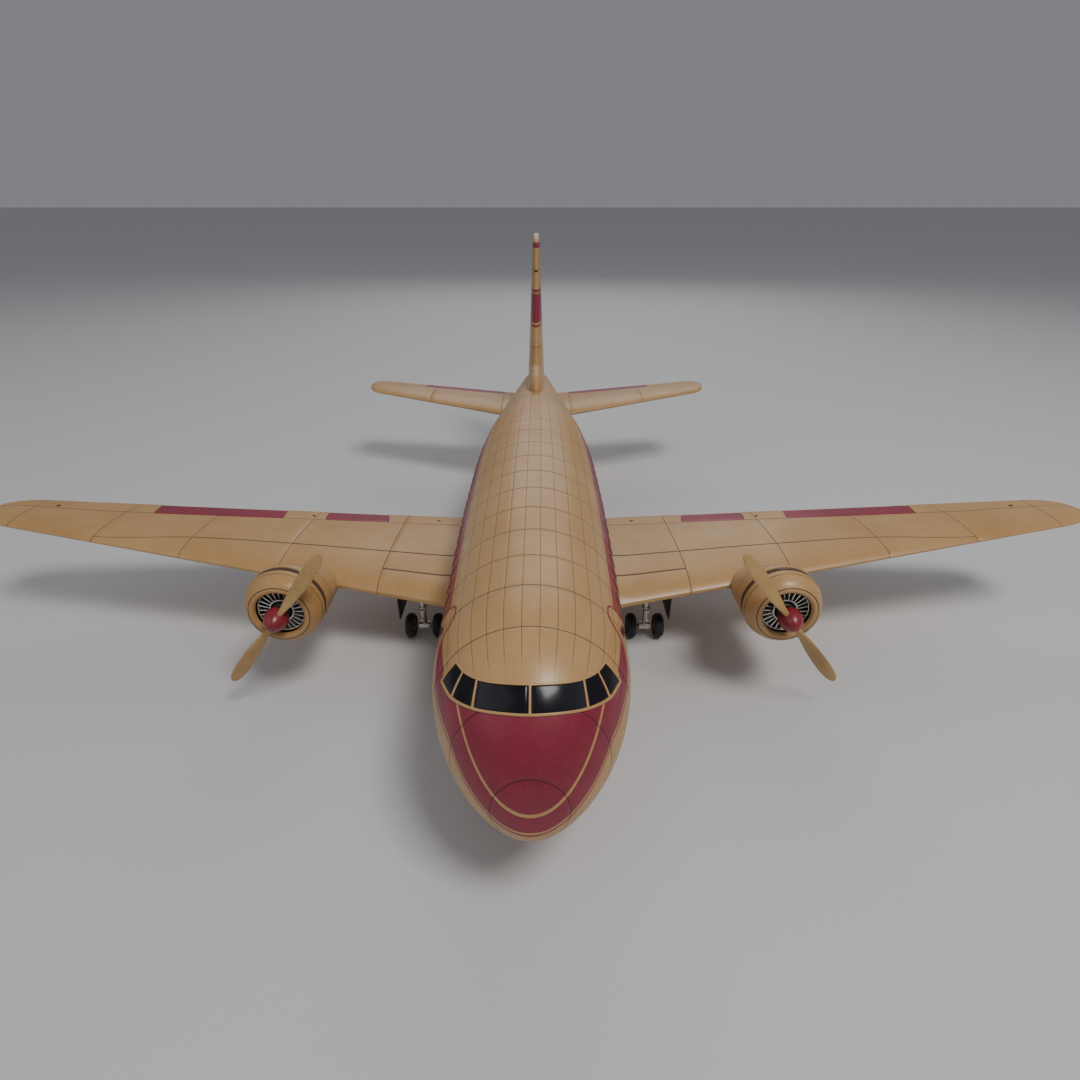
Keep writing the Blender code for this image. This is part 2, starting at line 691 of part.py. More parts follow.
def blade_rings(x, way, side):
    """Sections of one blade from root to tip: thick and round at the hub, broad and thin outside."""
    direction = Vector((side * math.cos(BLADE_ANGLE), 0, -math.sin(BLADE_ANGLE))) * way
    across = Vector((0, 1, 0)).cross(direction) * side
    rings = []
    for reach, chord, thickness in BLADE_SECTIONS:
        pitch = math.radians(ROOT_PITCH - PITCH_LOSS * reach / BLADE_RADIUS)
        wide = across * math.cos(pitch) + Vector((0, 1, 0)) * math.sin(pitch)
        thick = direction.cross(wide)
        centre = Vector((x, PROP_Y, ENGINE_Z)) + direction * reach
        ring = []
        for i in range(8):
            angle = math.tau * i / 8
            ring.append(centre + wide * chord / 2 * math.cos(angle) + thick * thickness / 2 * math.sin(angle))
        rings.append(ring)
    return rings


def propeller(name, x, side):
    """Two blades on a hub that is bored for the shaft; the origin is on the shaft line."""
    centre = (x, PROP_Y, ENGINE_Z)
    hub = rod((x, PROP_Y - HUB_HALF, ENGINE_Z), (x, PROP_Y + HUB_HALF, ENGINE_Z), HUB_RADIUS, 20)
    piece = place(hub, name, "ochre_blade", pivot=centre)
    boolean(piece, [helper(loft(blade_rings(x, way, side))) for way in (1, -1)], "UNION")
    boolean(piece, [helper(rod((x, -130, ENGINE_Z), (x, -118, ENGINE_Z), SHAFT_HOLE, 12))])


def spinner(name, x, side):
    """The pointed cap, hollow, with a slot on each side for a blade's root."""
    cap = place(turned(SPINNER_PROFILE, (x, SPINNER_BACK, ENGINE_Z), sides=16), name, "crimson_paint",
                pivot=(x, PROP_Y, ENGINE_Z))
    along = Vector((side * math.cos(BLADE_ANGLE), 0, -math.sin(BLADE_ANGLE)))
    across = Vector((0, 1, 0)).cross(along)
    slots = []
    for way in (1, -1):
        rings = []
        for reach in (3.6, 7.0):
            centre = Vector((x, PROP_Y, ENGINE_Z)) + along * way * reach
            rings.append([centre + across * a + Vector((0, b, 0))
                          for a, b in ((-2.0, -2.0), (2.0, -2.0), (2.0, 5.0), (-2.0, 5.0))])
        slots.append(helper(loft(rings)))
    boolean(cap, slots)


def engines():
    for name, side in SIDES:
        x = side * ENGINE_X
        nacelle("nacelle_" + name, side)
        cowl("cowl_" + name, x)
        vane_ring("vane_ring_" + name, x)
        engine_case("engine_case_" + name, x)
        shaft = rod((x, SHAFT_SPAN[0], ENGINE_Z), (x, SHAFT_SPAN[1], ENGINE_Z), SHAFT_RADIUS)
        place(shaft, "prop_shaft_" + name, "steel",
              pivot=(x, PROP_Y, ENGINE_Z))
        propeller("propeller_" + name, x, side)
        spinner("spinner_" + name, x, side)


def tail_lead(x):
    return 114.0 + (x - TAIL_ROOT) * 0.40


def tail_trail(x):
    return 178.0 + (x - TAIL_ROOT) * 0.14


def tail_height(x):
    return TAIL_HEIGHT + (x - TAIL_ROOT) * TAIL_RISE


def tail_depth(x):
    return 0.11 * (tail_trail(x) - tail_lead(x))


def tailplanes():
    for name, side in SIDES:
        rings = []
        for x in (4.0, TAIL_ROOT, 60, 96, TAIL_BEND, 129.5, 133, 134.7):
            lead, trail, depth = tapered(x, TAIL_BEND, TAIL_TIP, tail_lead, tail_trail, tail_depth, 0.6)
            rings.append([(side * x, y, tail_height(x) + h) for y, h in aerofoil(lead, trail, depth)])
        plane = place(loft(rings), "tailplane_" + name, "cream_paint")
        boolean(plane, [helper(whole_body(-GAP))])
        low = (min(side * 4.0, side * 22.0), 140, 60.3)
        high = (max(side * 4.0, side * 22.0), 150, 62.7)
        boolean(plane, [helper(block(low, high))], "UNION")
        points = []
        radii = []
        chords = []
        for x, chord in zip(ELEVATOR_SPAN, ELEVATOR_CHORDS):
            y = tail_trail(x) - chord
            points.append((side * x, y, tail_height(x)))
            radii.append(half_depth(tail_lead(x), tail_trail(x), tail_depth(x), y) * 0.97)
            chords.append(chord * 0.985)
        control_surface("elevator_" + name, plane, points, (0, 0, 1), radii, chords)


def fin_lead(z):
    return 106.0 + (z - 90.5) * 0.6136


def fin_trail(z):
    return 218.0 - (z - 90.0) * 0.045


def fin_depth(z):
    return curve(FIN_WIDTH, z)


def fin():
    """Fin with its dorsal fairing in one piece, let into the fuselage by a tenon."""
    rings = []
    for z in (74, 90, 112, 134, 153, FIN_BEND, 176, 178.6, 180.2):
        lead, trail, depth = tapered(z, FIN_BEND, FIN_TOP, fin_lead, fin_trail, fin_depth, 0.55)
        rings.append([(h, y, z) for y, h in aerofoil(lead, trail, depth)])
    piece = place(loft(rings), "fin", "cream_paint")
    fairing = []
    for y, width, top in DORSAL_RINGS:
        low = 84.0 - max(y - 100.0, 0.0) * 0.09
        ring = []
        for i in range(12):
            angle = math.tau * (i + 0.5) / 12
            ring.append((width * math.cos(angle), y, low + (top - low) * math.sin(angle)))
        fairing.append(ring)
    boolean(piece, [helper(loft(fairing))], "UNION")
    boolean(piece, [helper(whole_body(-GAP))])
    boolean(piece, [helper(block((-1.2, 150, 76), (1.2, 175, 92)))], "UNION")
    foot = (0, RUDDER_FOOT_HINGE, RUDDER_FOOT)
    top = (0, RUDDER_TOP_HINGE, FIN_BEND)
    radii = []
    chords = []
    for _, y, z in (foot, top):
        radii.append(half_depth(fin_lead(z), fin_trail(z), fin_depth(z), y) * 0.97)
        chords.append((fin_trail(z) - y) * 0.99)
    control_surface("rudder", piece, (foot, top), (1, 0, 0), radii, chords, "cream_paint")


def wheel_pair(prefix, x, y, z, offset, radius, width, names):
    """An axle with two hubs, and a tyre on each; it all turns in the leg's boss."""
    half = width / 2
    rim = radius - 2.9
    inner = offset - half * 0.72
    outer = offset + half * 0.72
    profile = ((0, -outer - 0.5), (1.2, -outer - 0.5), (1.2, -outer), (rim, -outer), (rim, -inner),
               (0.8, -inner), (0.8, inner), (rim, inner), (rim, outer), (1.2, outer), (1.2, outer + 0.5),
               (0, outer + 0.5))
    axle = turned(profile, (x, y, z), axis="X", sides=12)
    place(axle, prefix + "axle" + names[2], "polished_metal", pivot=(x, y, z))
    ring = ((rim + GAP, -half * 0.8), (rim + 1.7, -half), (radius, -half * 0.5),
            (radius, half * 0.5), (rim + 1.7, half), (rim + GAP, half * 0.8))
    for tyre, shift in zip(names[:2], (-offset, offset)):
        rubber = turned(ring, (x + shift, y, z), axis="X", sides=TYRE_SIDES, turn=math.pi / TYRE_SIDES)
        place(rubber, prefix + "tyre" + tyre, "tyre_rubber", pivot=(x + shift, y, z))


def main_gear():
    for name, side in SIDES:
        x = side * MAIN_X
        cylinder = rod((x, MAIN_Y, PISTON_TOP), (x, MAIN_Y, LEG_TOP), LEG_RADIUS)
        leg = place(cylinder, "main_leg_" + name, "polished_metal")
        boolean(leg, [
            helper(rod((x, MAIN_Y, AXLE_Z), (x, MAIN_Y, PISTON_TOP + 1), PISTON_RADIUS)),
            helper(rod((x - 3, MAIN_Y, AXLE_Z), (x + 3, MAIN_Y, AXLE_Z), BOSS_RADIUS, 16)),
            helper(rod((x, MAIN_Y + 0.5, 18.5), (x, MAIN_Y + 11.5, 29.2), BRACE_RADIUS, 10)),
        ], "UNION")
        boolean(leg, [helper(rod((x - 4, MAIN_Y, AXLE_Z), (x + 4, MAIN_Y, AXLE_Z), AXLE_HOLE))])
        nearer = "_inner" if side > 0 else "_outer"
        further = "_outer" if side > 0 else "_inner"
        names = ("_" + name + nearer, "_" + name + further, "_" + name)
        wheel_pair("main_", x, MAIN_Y, AXLE_Z, WHEEL_OFFSET, TYRE_RADIUS, TYRE_WIDTH, names)
        middle = x + side * DOOR_OFFSET
        low = (middle - DOOR_HALF[0], MAIN_Y - DOOR_HALF[1], DOOR_SPAN[0])
        high = (middle + DOOR_HALF[0], MAIN_Y + DOOR_HALF[1], DOOR_SPAN[1])
        place(block(low, high), "main_door_" + name, "cream_paint")


def nose_gear():
    z = NOSE_TYRE_RADIUS * math.cos(math.pi / TYRE_SIDES)
    cylinder = rod((0, NOSE_WHEEL_Y, 12.5), (0, NOSE_WHEEL_Y, NOSE_LEG_TOP), NOSE_LEG_RADIUS)
    leg = place(cylinder, "nose_leg", "polished_metal", pivot=(0, NOSE_WHEEL_Y, z))
    boolean(leg, [
        helper(rod((0, NOSE_WHEEL_Y, z), (0, NOSE_WHEEL_Y, 13.5), AXLE_HOLE)),
        helper(rod((-2, NOSE_WHEEL_Y, z), (2, NOSE_WHEEL_Y, z), 1.9, 16)),
    ], "UNION")
    boolean(leg, [helper(rod((-3, NOSE_WHEEL_Y, z), (3, NOSE_WHEEL_Y, z), AXLE_HOLE))])
    names = ("_left", "_right", "")
    wheel_pair("nose_", 0, NOSE_WHEEL_Y, z, NOSE_WHEEL_OFFSET, NOSE_TYRE_RADIUS, NOSE_TYRE_WIDTH, names)


clear_scene()
fuselage()
nose_and_tail_caps()
inner_structure()
wings()
engines()
tailplanes()
fin()
main_gear()
nose_gear()
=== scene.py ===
# %% [markdown]
# # A propeller airliner as a desk model
# The model is a twin-engine airliner in cream and crimson satin paint. Its solids come packed as a
# frame of rigid bodies joined by hinges. This lesson dresses that frame: it wraps smooth skins over
# the plain solids, engraves the panel lines as real grooves, and mixes every finish from nodes.

# %% Load the frame
import math

import bmesh
import bpy
import numpy as np
from mathutils import Matrix, Vector


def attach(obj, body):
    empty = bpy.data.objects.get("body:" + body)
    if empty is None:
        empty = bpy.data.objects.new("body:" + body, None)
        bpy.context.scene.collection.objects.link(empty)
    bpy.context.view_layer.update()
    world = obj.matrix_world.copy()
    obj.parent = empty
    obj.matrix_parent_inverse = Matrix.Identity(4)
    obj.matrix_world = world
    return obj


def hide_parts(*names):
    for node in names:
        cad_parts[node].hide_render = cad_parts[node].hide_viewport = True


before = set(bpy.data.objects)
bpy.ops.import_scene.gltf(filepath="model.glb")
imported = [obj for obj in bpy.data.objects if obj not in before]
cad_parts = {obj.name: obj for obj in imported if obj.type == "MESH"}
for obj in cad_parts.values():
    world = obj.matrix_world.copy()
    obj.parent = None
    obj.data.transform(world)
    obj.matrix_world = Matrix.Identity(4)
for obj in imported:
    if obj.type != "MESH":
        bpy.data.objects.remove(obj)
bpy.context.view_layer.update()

# %% [markdown]
# ## Camera, floor and light
# The model is looked at from in front of the nose, from above, with a wide lens close by, which
# makes the nose large and the tail small. A pale floor and big soft lights keep the paint readable.
# Its place, its downward dip and its lens are the only numbers that the view depends on.

# %% Place the camera
MM = 0.001
CAMERA_PLACE = Vector((2.8, -340.0, 200.0)) * MM
CAMERA_DIP = math.radians(28.0)
CAMERA_LENS = 21.1
eye = bpy.data.cameras.new("eye")
eye.lens = CAMERA_LENS
eye.sensor_width = 36.0
eye.clip_start = 0.01
viewer = bpy.data.objects.new("viewer", eye)
viewer.location = CAMERA_PLACE
viewer.rotation_euler = (math.pi / 2 - CAMERA_DIP, 0.0, 0.0)
bpy.context.scene.collection.objects.link(viewer)
bpy.context.scene.camera = viewer
print("camera dips", round(math.degrees(CAMERA_DIP)), "degrees")

# %% Lay the floor and hang the lights
FLOOR_REACH = 40.0
FLOOR_DROP = 0.0002


def make_floor():
    bm = bmesh.new()
    bmesh.ops.create_grid(bm, x_segments=1, y_segments=1, size=FLOOR_REACH)
    mesh = bpy.data.meshes.new("floor")
    bm.to_mesh(mesh)
    bm.free()
    floor = bpy.data.objects.new("floor", mesh)
    floor.location.z = -FLOOR_DROP
    bpy.context.scene.collection.objects.link(floor)
    finish = bpy.data.materials.new("floor_paper")
    finish.use_nodes = True
    shader = finish.node_tree.nodes["Principled BSDF"]
    shader.inputs["Base Color"].default_value = (0.62, 0.62, 0.63, 1.0)
    shader.inputs["Roughness"].default_value = 0.8
    mesh.materials.append(finish)


def soft_light(name, place, target, size, watts, colour=(1.0, 1.0, 1.0)):
    lamp = bpy.data.lights.new(name, "AREA")
    lamp.shape = "SQUARE"
    lamp.size = size
    lamp.energy = watts
    lamp.color = colour
    item = bpy.data.objects.new(name, lamp)
    item.location = place
    item.rotation_euler = (Vector(target) - Vector(place)).to_track_quat("-Z", "Y").to_euler()
    bpy.context.scene.collection.objects.link(item)


make_floor()
soft_light("key_light", (0.45, -0.62, 1.25), (0, -0.05, 0.05), 0.40, 11.0, (1.0, 0.97, 0.93))
soft_light("fill_light", (-1.1, -0.7, 0.9), (0, 0, 0.05), 1.2, 2.6, (0.95, 0.97, 1.0))
soft_light("back_light", (0.1, 1.2, 0.9), (0, 0, 0.08), 1.0, 3.6)
sky = bpy.data.worlds.new("studio_air")
sky.use_nodes = True
sky.node_tree.nodes["Background"].inputs["Color"].default_value = (0.93, 0.94, 1.0, 1.0)
sky.node_tree.nodes["Background"].inputs["Strength"].default_value = 0.24
bpy.context.scene.world = sky

# %% [markdown]
# ## Shader sums written as Python
# A paint scheme is mostly arithmetic: this stripe lies between two heights, that line is dark. Node
# trees make such sums hard to read, so one small class wraps a socket and lets plain operators add
# the Math nodes. Every other node comes from its one `node` method.

# %% Wrap a socket
class Wire:
    """A shader value. Arithmetic on it adds Math nodes; `node` adds any other node."""

    def __init__(self, tree, socket=None):
        self.tree = tree
        self.socket = socket

    def plug(self, socket, value):
        if isinstance(value, Wire):
            self.tree.links.new(value.socket, socket)
        elif isinstance(value, tuple) and len(value) == 3 and socket.type == "RGBA":
            socket.default_value = (*value, 1.0)
        else:
            socket.default_value = value

    def node(self, kind, settings=None, sockets=None, output=0):
        made = self.tree.nodes.new(kind)
        for name, value in (settings or {}).items():
            setattr(made, name, value)
        for name, value in (sockets or {}).items():
            self.plug(made.inputs[name], value)
        return Wire(self.tree, made.outputs[output])

    def math(self, operation, *values, clamp=False):
        settings = {"operation": operation, "use_clamp": clamp}
        return self.node("ShaderNodeMath", settings, dict(enumerate(values)))

    def __add__(self, other):
        return self.math("ADD", self, other)

    __radd__ = __add__

    def __sub__(self, other):
        return self.math("SUBTRACT", self, other)

    def __rsub__(self, other):
        return self.math("SUBTRACT", other, self)

    def __mul__(self, other):
        return self.math("MULTIPLY", self, other)

    __rmul__ = __mul__

    def __truediv__(self, other):
        return self.math("DIVIDE", self, other)

    def __abs__(self):
        return self.math("ABSOLUTE", self)

    def above(self, edge, soft):
        """0 below the edge, 1 above it, with a soft step about the edge."""
        return self.math("ADD", (self - edge) / soft, 0.5, clamp=True)

    def below(self, edge, soft):
        return 1 - self.above(edge, soft)

    def between(self, low, high, soft):
        return self.above(low, soft) * self.below(high, soft)

    def least(self, other):
        return self.math("MINIMUM", self, other)

    def most(self, other):
        return self.math("MAXIMUM", self, other)


def mix(factor, first, second):
    """The first colour where the factor is 0, the second where it is 1."""
    return factor.node("ShaderNodeMix", {"data_type": "RGBA"}, {0: factor, 6: first, 7: second}, output=2)


def new_finish(name):
    """A fresh material and a wire to start sums from; its Principled shader is still plain."""
    finish = bpy.data.materials.new(name)
    finish.use_nodes = True
    return finish, Wire(finish.node_tree)


def set_shader(finish, wire, sockets):
    shader = finish.node_tree.nodes["Principled BSDF"]
    for name, value in sockets.items():
        wire.plug(shader.inputs[name], value)
    return finish


def noise(wire, coordinates, scale, detail=3.0, roughness=0.5):
    return wire.node("ShaderNodeTexNoise", None, {"Vector": coordinates, "Scale": scale,
                                                  "Detail": detail, "Roughness": roughness})


def bump(wire, height, distance, strength=1.0):
    return wire.node("ShaderNodeBump", None, {"Height": height, "Distance": distance,
                                              "Strength": strength})


def places(wire):
    """Object coordinates, whole and as x, y and z in millimetres."""
    whole = wire.node("ShaderNodeTexCoord", None, None, output=3)
    x, y, z = (whole.node("ShaderNodeSeparateXYZ", None, {0: whole}, output=i) * 1000 for i in range(3))
    return whole, x, y, z


print("shader sums ready")

# %% [markdown]
# ## The body's outline
# An airliner's body is a tube that closes at both ends. Its cross-section is an ellipse at every
# station, so three curves describe it: half the width, the top line and the bottom line. The nose
# is close to an ellipse in plan and fuller on top, which gives it the blunt, drooping look.

# %% Describe the body
GAP = 0.3
BODY_TOP = 90.0
BODY_BOTTOM = 22.5
NOSE_BASE = -164.0
NOSE_LENGTH = 56.0
NOSE_HEIGHT = 40.5
NOSE_FULLNESS = 2.3
NOSE_ROUNDNESS = 2.1
NOSE_TIP = NOSE_BASE - NOSE_LENGTH
BODY_END = 219.9
BODY_WIDTH = ((-164, 33.8), (-120, 35.0), (-75, 35.8), (-30, 35.7), (4, 34.8), (47, 31.3),
              (71, 27.2), (130, 17.0), (180, 9.8), (203, 6.2), (220, 1.6))
BODY_UPPER = ((-164, 90.0), (-30, 90.0), (40, 89.8), (80, 88.6), (130, 85.5), (180, 79.5),
              (203, 75.2), (220, 69.6))
BODY_LOWER = ((-164, 22.5), (-60, 22.5), (-30, 22.9), (4, 25.5), (70, 37.5), (130, 48.5),
              (180, 57.5), (203, 62.2), (220, 66.8))


def curve(stations, place):
    """A smooth line through a few (place, value) stations."""
    marks, values = zip(*stations)
    slopes = np.gradient(values, marks)
    i = min(max(int(np.searchsorted(marks, place)) - 1, 0), len(marks) - 2)
    span = marks[i + 1] - marks[i]
    t = min(max((place - marks[i]) / span, 0.0), 1.0)
    start = (1 + 2 * t) * (1 - t) ** 2 * values[i] + t * (1 - t) ** 2 * span * slopes[i]
    end = t * t * (3 - 2 * t) * values[i + 1] + t * t * (t - 1) * span * slopes[i + 1]
    return start + end


def section(y):
    """Half width, top and bottom of the body at y."""
    if y < NOSE_BASE:
        u = min((NOSE_BASE - y) / NOSE_LENGTH, 1.0)
        round_part = (1 - u ** NOSE_ROUNDNESS) ** (1 / NOSE_ROUNDNESS)
        upper = (1 - u ** NOSE_FULLNESS) ** (1 / NOSE_FULLNESS)
        top = NOSE_HEIGHT + (BODY_TOP - NOSE_HEIGHT) * upper
        return BODY_WIDTH[0][1] * round_part, top, NOSE_HEIGHT - (NOSE_HEIGHT - BODY_BOTTOM) * round_part
    return curve(BODY_WIDTH, y), curve(BODY_UPPER, y), curve(BODY_LOWER, y)


def skin_point(y, degrees):
    """A point on the body: 0 degrees is the widest line on the +X side, 90 is the top."""
    width, top, bottom = section(y)
    turn = math.radians(degrees)
    return Vector((width * math.cos(turn), y, (top + bottom) / 2 + (top - bottom) / 2 * math.sin(turn)))


def skin_over(x, y):
    """The point of the upper skin over a place in plan."""
    width, top, bottom = section(y)
    rise = math.sqrt(max(1 - (x / width) ** 2, 0.0))
    return Vector((x, y, (top + bottom) / 2 + (top - bottom) / 2 * rise))


print("body is", round(2 * section(-60)[0], 1), "mm wide at the wing")

# %% [markdown]
# ## Wrapping a sheet
# Every skin here is a flat grid bent round a form: `create_grid` makes the grid, and a shaping
# function says where each crossing goes. A panel line is three close grid lines, with the middle one
# pressed in, so it is a true groove. The same vertices carry a `groove` attribute, which the paint
# uses to darken the line, and the grid's own numbers become the UV map.

# %% Make stops and wrap sheets
LINE_HALF = 0.26
ENGRAVED = 0.12
MERGE = 2e-6


def stops(first, last, step, lines=(), half=LINE_HALF):
    """Even stops with three close ones at each engraved line, as (place, pressed) pairs."""
    found = []
    for line in lines:
        found += [(line - half, 0.0), (line, 1.0), (line + half, 0.0)]
    count = max(1, math.ceil((last - first) / step))
    for i in range(count + 1):
        place = first + (last - first) * i / count
        if all(abs(place - line) > 1.6 * half for line in lines):
            found.append((place, 0.0))
    return sorted(found)


def wrap(us, vs, shape, lift=None, keep=None):
    """Bend a grid so that stop u, v lands on shape(u, v, depth), in millimetres."""
    bm = bmesh.new()
    wide = len(us) - 1
    tall = len(vs) - 1
    bmesh.ops.create_grid(bm, x_segments=wide, y_segments=tall, size=0.5)
    pressed = bm.verts.layers.float.new("groove")
    raised = bm.verts.layers.float.new("lift")
    chart = bm.loops.layers.uv.new("skin")
    spots = {}
    for vert in bm.verts:
        spots[vert] = (us[round((vert.co.x + 0.5) * wide)], vs[round((vert.co.y + 0.5) * tall)])
    for face in bm.faces:
        for loop in face.loops:
            u, v = spots[loop.vert]
            loop[chart].uv = (u[0] * MM, v[0] * 0.01)
    for vert, (u, v) in spots.items():
        groove = max(u[1], v[1] * (keep(u[0], v[0]) if keep else 1.0))
        vert[pressed] = groove
        vert[raised] = lift(u[0], v[0]) if lift else 0.0
        vert.co = Vector(shape(u[0], v[0], groove * ENGRAVED)) * MM
    bmesh.ops.remove_doubles(bm, verts=bm.verts, dist=MERGE)
    return bm


def close_ends(bm):
    rim = [edge for edge in bm.edges if edge.is_boundary]
    if rim:
        bmesh.ops.holes_fill(bm, edges=rim, sides=0)
    return bm


def join(bm, extra):
    """Add a second bmesh to the first and let go of it."""
    scrap = bpy.data.meshes.new("scrap")
    extra.to_mesh(scrap)
    extra.free()
    bm.from_mesh(scrap)
    bpy.data.meshes.remove(scrap)
    return bm


def finish_piece(bm, name, body, material, stands_for=(), sharp=50.0, outward=True):
    """Turn a bmesh, in metres and in place, into a shown piece that rides on a body."""
    if outward:
        bmesh.ops.recalc_face_normals(bm, faces=bm.faces)
    mesh = bpy.data.meshes.new(name)
    bm.to_mesh(mesh)
    bm.free()
    mesh.shade_smooth()
    mesh.set_sharp_from_angle(angle=math.radians(sharp))
    piece = bpy.data.objects.new(name, mesh)
    mesh.materials.append(material)
    bpy.context.scene.collection.objects.link(piece)
    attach(piece, body)
    if stands_for:
        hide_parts(*stands_for)
    print(name, len(mesh.polygons), "faces")
    return piece


print("a groove is", ENGRAVED, "mm deep")

# %% [markdown]
# ## The paint scheme
# The livery is decided by where a point of the skin lies. Round the nose the stripes are parabolas:
# their height over the middle line grows with the square of the distance from it. Along the sides
# they follow the angle up from the body's widest line, which the skin keeps in its `lift` attribute.
# Satin paint is not one flat colour: it is a little uneven, flecked with a lighter tone, and dark
# in the engraved lines.

# %% Mix the paints
CREAM = (0.500, 0.300, 0.125)
CREAM_DEEP = (0.430, 0.235, 0.080)
CREAM_EDGE = (0.600, 0.400, 0.200)
CRIMSON = (0.270, 0.016, 0.042)
CRIMSON_DEEP = (0.190, 0.010, 0.028)
CRIMSON_EDGE = (0.350, 0.040, 0.060)
LINE_CREAM = (0.085, 0.045, 0.025)
LINE_CRIMSON = (0.035, 0.006, 0.008)


def paint_sum(wire, red=None):
    """Base colour, roughness and normal of the satin paint; red is the mask of the crimson parts."""
    whole = places(wire)[0]
    cloud = noise(wire, whole, 28.0, 4.0, 0.6)
    grain = noise(wire, whole, 900.0, 3.0, 0.6)
    fine = noise(wire, whole, 5200.0, 2.0, 0.5)
    patch = cloud.above(0.52, 0.35)
    cream = mix(patch, CREAM, CREAM_DEEP)
    cream = mix(grain.above(0.60, 0.2) * 0.25, cream, CREAM_EDGE)
    crimson = mix(patch, CRIMSON, CRIMSON_DEEP)
    crimson = mix(grain.above(0.60, 0.2) * 0.25, crimson, CRIMSON_EDGE)
    pressed = wire.node("ShaderNodeAttribute", {"attribute_name": "groove"}, None, output=2)
    dark = pressed.above(0.36, 0.5)
    dust = pressed.above(0.18, 0.3) * 0.30
    if red is None:
        colour = mix(dark.most(dust), cream, LINE_CREAM)
    else:
        colour = mix(red, cream, crimson)
        colour = mix(dark.most(dust), colour, mix(red, LINE_CREAM, LINE_CRIMSON))
    rough = 0.30 + cloud * 0.16 + grain * 0.08 + dark * 0.25
    normal = bump(wire, grain * 0.7 + fine * 0.3, 0.00004, 0.35)
    return colour, rough, normal


def satin(name, red=None):
    """A satin paint; red is a function of the wire that gives the crimson mask."""
    finish, wire = new_finish(name)
    colour, rough, normal = paint_sum(wire, red(wire) if red else None)
    return set_shader(finish, wire, {"Base Color": colour, "Roughness": rough, "Normal": normal,
                                     "Coat Weight": 0.15, "Coat Roughness": 0.2})


def everywhere(wire):
    """A mask that is 1 all over."""
    return places(wire)[1].above(-9000.0, 1.0)


cream_paint = satin("cream_satin")
crimson_paint = satin("crimson_satin", everywhere)
print("paints mixed:", cream_paint.name, crimson_paint.name)

# %% [markdown]
# ## Other finishes
# Glass on a display model is dark and glossy, almost black with a blue cast, and a little paler where
# a pane's `rim` attribute says so, which is a painted reflection. Tyres are matt rubber with lighter
# scuffs. Bare metal has fine machining marks, which only need a fine noise in the roughness and the
# normal.

# %% Mix glass, rubber and metal
def metal_finish(name, tint, dull, rough_low, stretch=(1.0, 1.0, 1.0), grime=0.5):
    """Bare metal: fine marks along the stretch, and grime in broad patches."""
    finish, wire = new_finish(name)
    whole = places(wire)[0]
    drawn = wire.node("ShaderNodeMapping", None, {"Vector": whole, "Scale": stretch})
    marks = noise(wire, drawn, 2600.0, 3.0, 0.6)
    cloud = noise(wire, whole, 160.0, 3.0, 0.6)
    dirty = cloud.above(0.56, 0.3) * grime
    colour = mix(dirty, tint, dull)
    return set_shader(finish, wire, {"Base Color": colour, "Metallic": 1.0 - dirty * 0.6,
                                     "Roughness": rough_low + marks * 0.15 + dirty * 0.35,
                                     "Normal": bump(wire, marks, 0.00003, 0.4)})


def glass_finish(name, deep, pale, scale=60.0):
    finish, wire = new_finish(name)
    whole = places(wire)[0]
    cloud = noise(wire, whole, scale, 2.0, 0.5)
    rim = wire.node("ShaderNodeAttribute", {"attribute_name": "rim"}, None, output=2)
    # the rim attribute mixes in the pale tone as a painted reflection; the cloud adds a random paler tone
    colour = mix((rim * 0.8 + cloud * 0.3 - 0.1).most(0.0), deep, pale)
    dust = noise(wire, whole, 1800.0, 3.0, 0.6)
    return set_shader(finish, wire, {"Base Color": colour, "Roughness": 0.12 + dust * 0.12,
                                     "Normal": bump(wire, cloud, 0.0001, 0.1),
                                     "Specular IOR Level": 0.22})


def rubber_finish(name):
    finish, wire = new_finish(name)
    whole = places(wire)[0]
    grain = noise(wire, whole, 1400.0, 4.0, 0.65)
    scuff = noise(wire, whole, 300.0, 4.0, 0.7).above(0.58, 0.2)
    colour = mix(scuff * 0.6, (0.022, 0.022, 0.025), (0.075, 0.070, 0.066))
    return set_shader(finish, wire, {"Base Color": colour, "Roughness": 0.62 + grain * 0.25,
                                     "Normal": bump(wire, grain, 0.00008, 0.6)})


def enamel_finish(name, base, deep, edge, rough=0.35):
    """Plain sprayed enamel for small parts, mottled and a little worn."""
    finish, wire = new_finish(name)
    whole = places(wire)[0]
    cloud = noise(wire, whole, 70.0, 4.0, 0.6)
    grain = noise(wire, whole, 1500.0, 3.0, 0.6)
    colour = mix(cloud.above(0.5, 0.4), base, deep)
    colour = mix(grain.above(0.62, 0.15) * 0.45, colour, edge)
    return set_shader(finish, wire, {"Base Color": colour, "Roughness": rough + grain * 0.18,
                                     "Normal": bump(wire, grain, 0.00005, 0.4), "Coat Weight": 0.2})


bright_metal = metal_finish("polished_metal", (0.74, 0.72, 0.68), (0.20, 0.15, 0.10), 0.16)
warm_metal = metal_finish("bronze_axle", (0.42, 0.27, 0.15), (0.12, 0.07, 0.04), 0.28)
# blackened metal; on the gear doors its darkness is also painted shade from the wing above
dark_metal_and_door_shade = metal_finish("blackened_metal_and_door_shade", (0.075, 0.068, 0.062), (0.03, 0.025, 0.02), 0.40)
plain_steel = metal_finish("plain_steel", (0.42, 0.42, 0.43), (0.16, 0.13, 0.10), 0.30)
vane_metal = metal_finish("vane_metal", (0.80, 0.78, 0.74), (0.25, 0.20, 0.15), 0.20)
screen_glass = glass_finish("screen_glass", (0.007, 0.006, 0.009), (0.034, 0.036, 0.050))
cabin_glass = glass_finish("cabin_glass", (0.010, 0.007, 0.010), (0.05, 0.04, 0.05), 300.0)
tyre_rubber = rubber_finish("tyre_rubber")
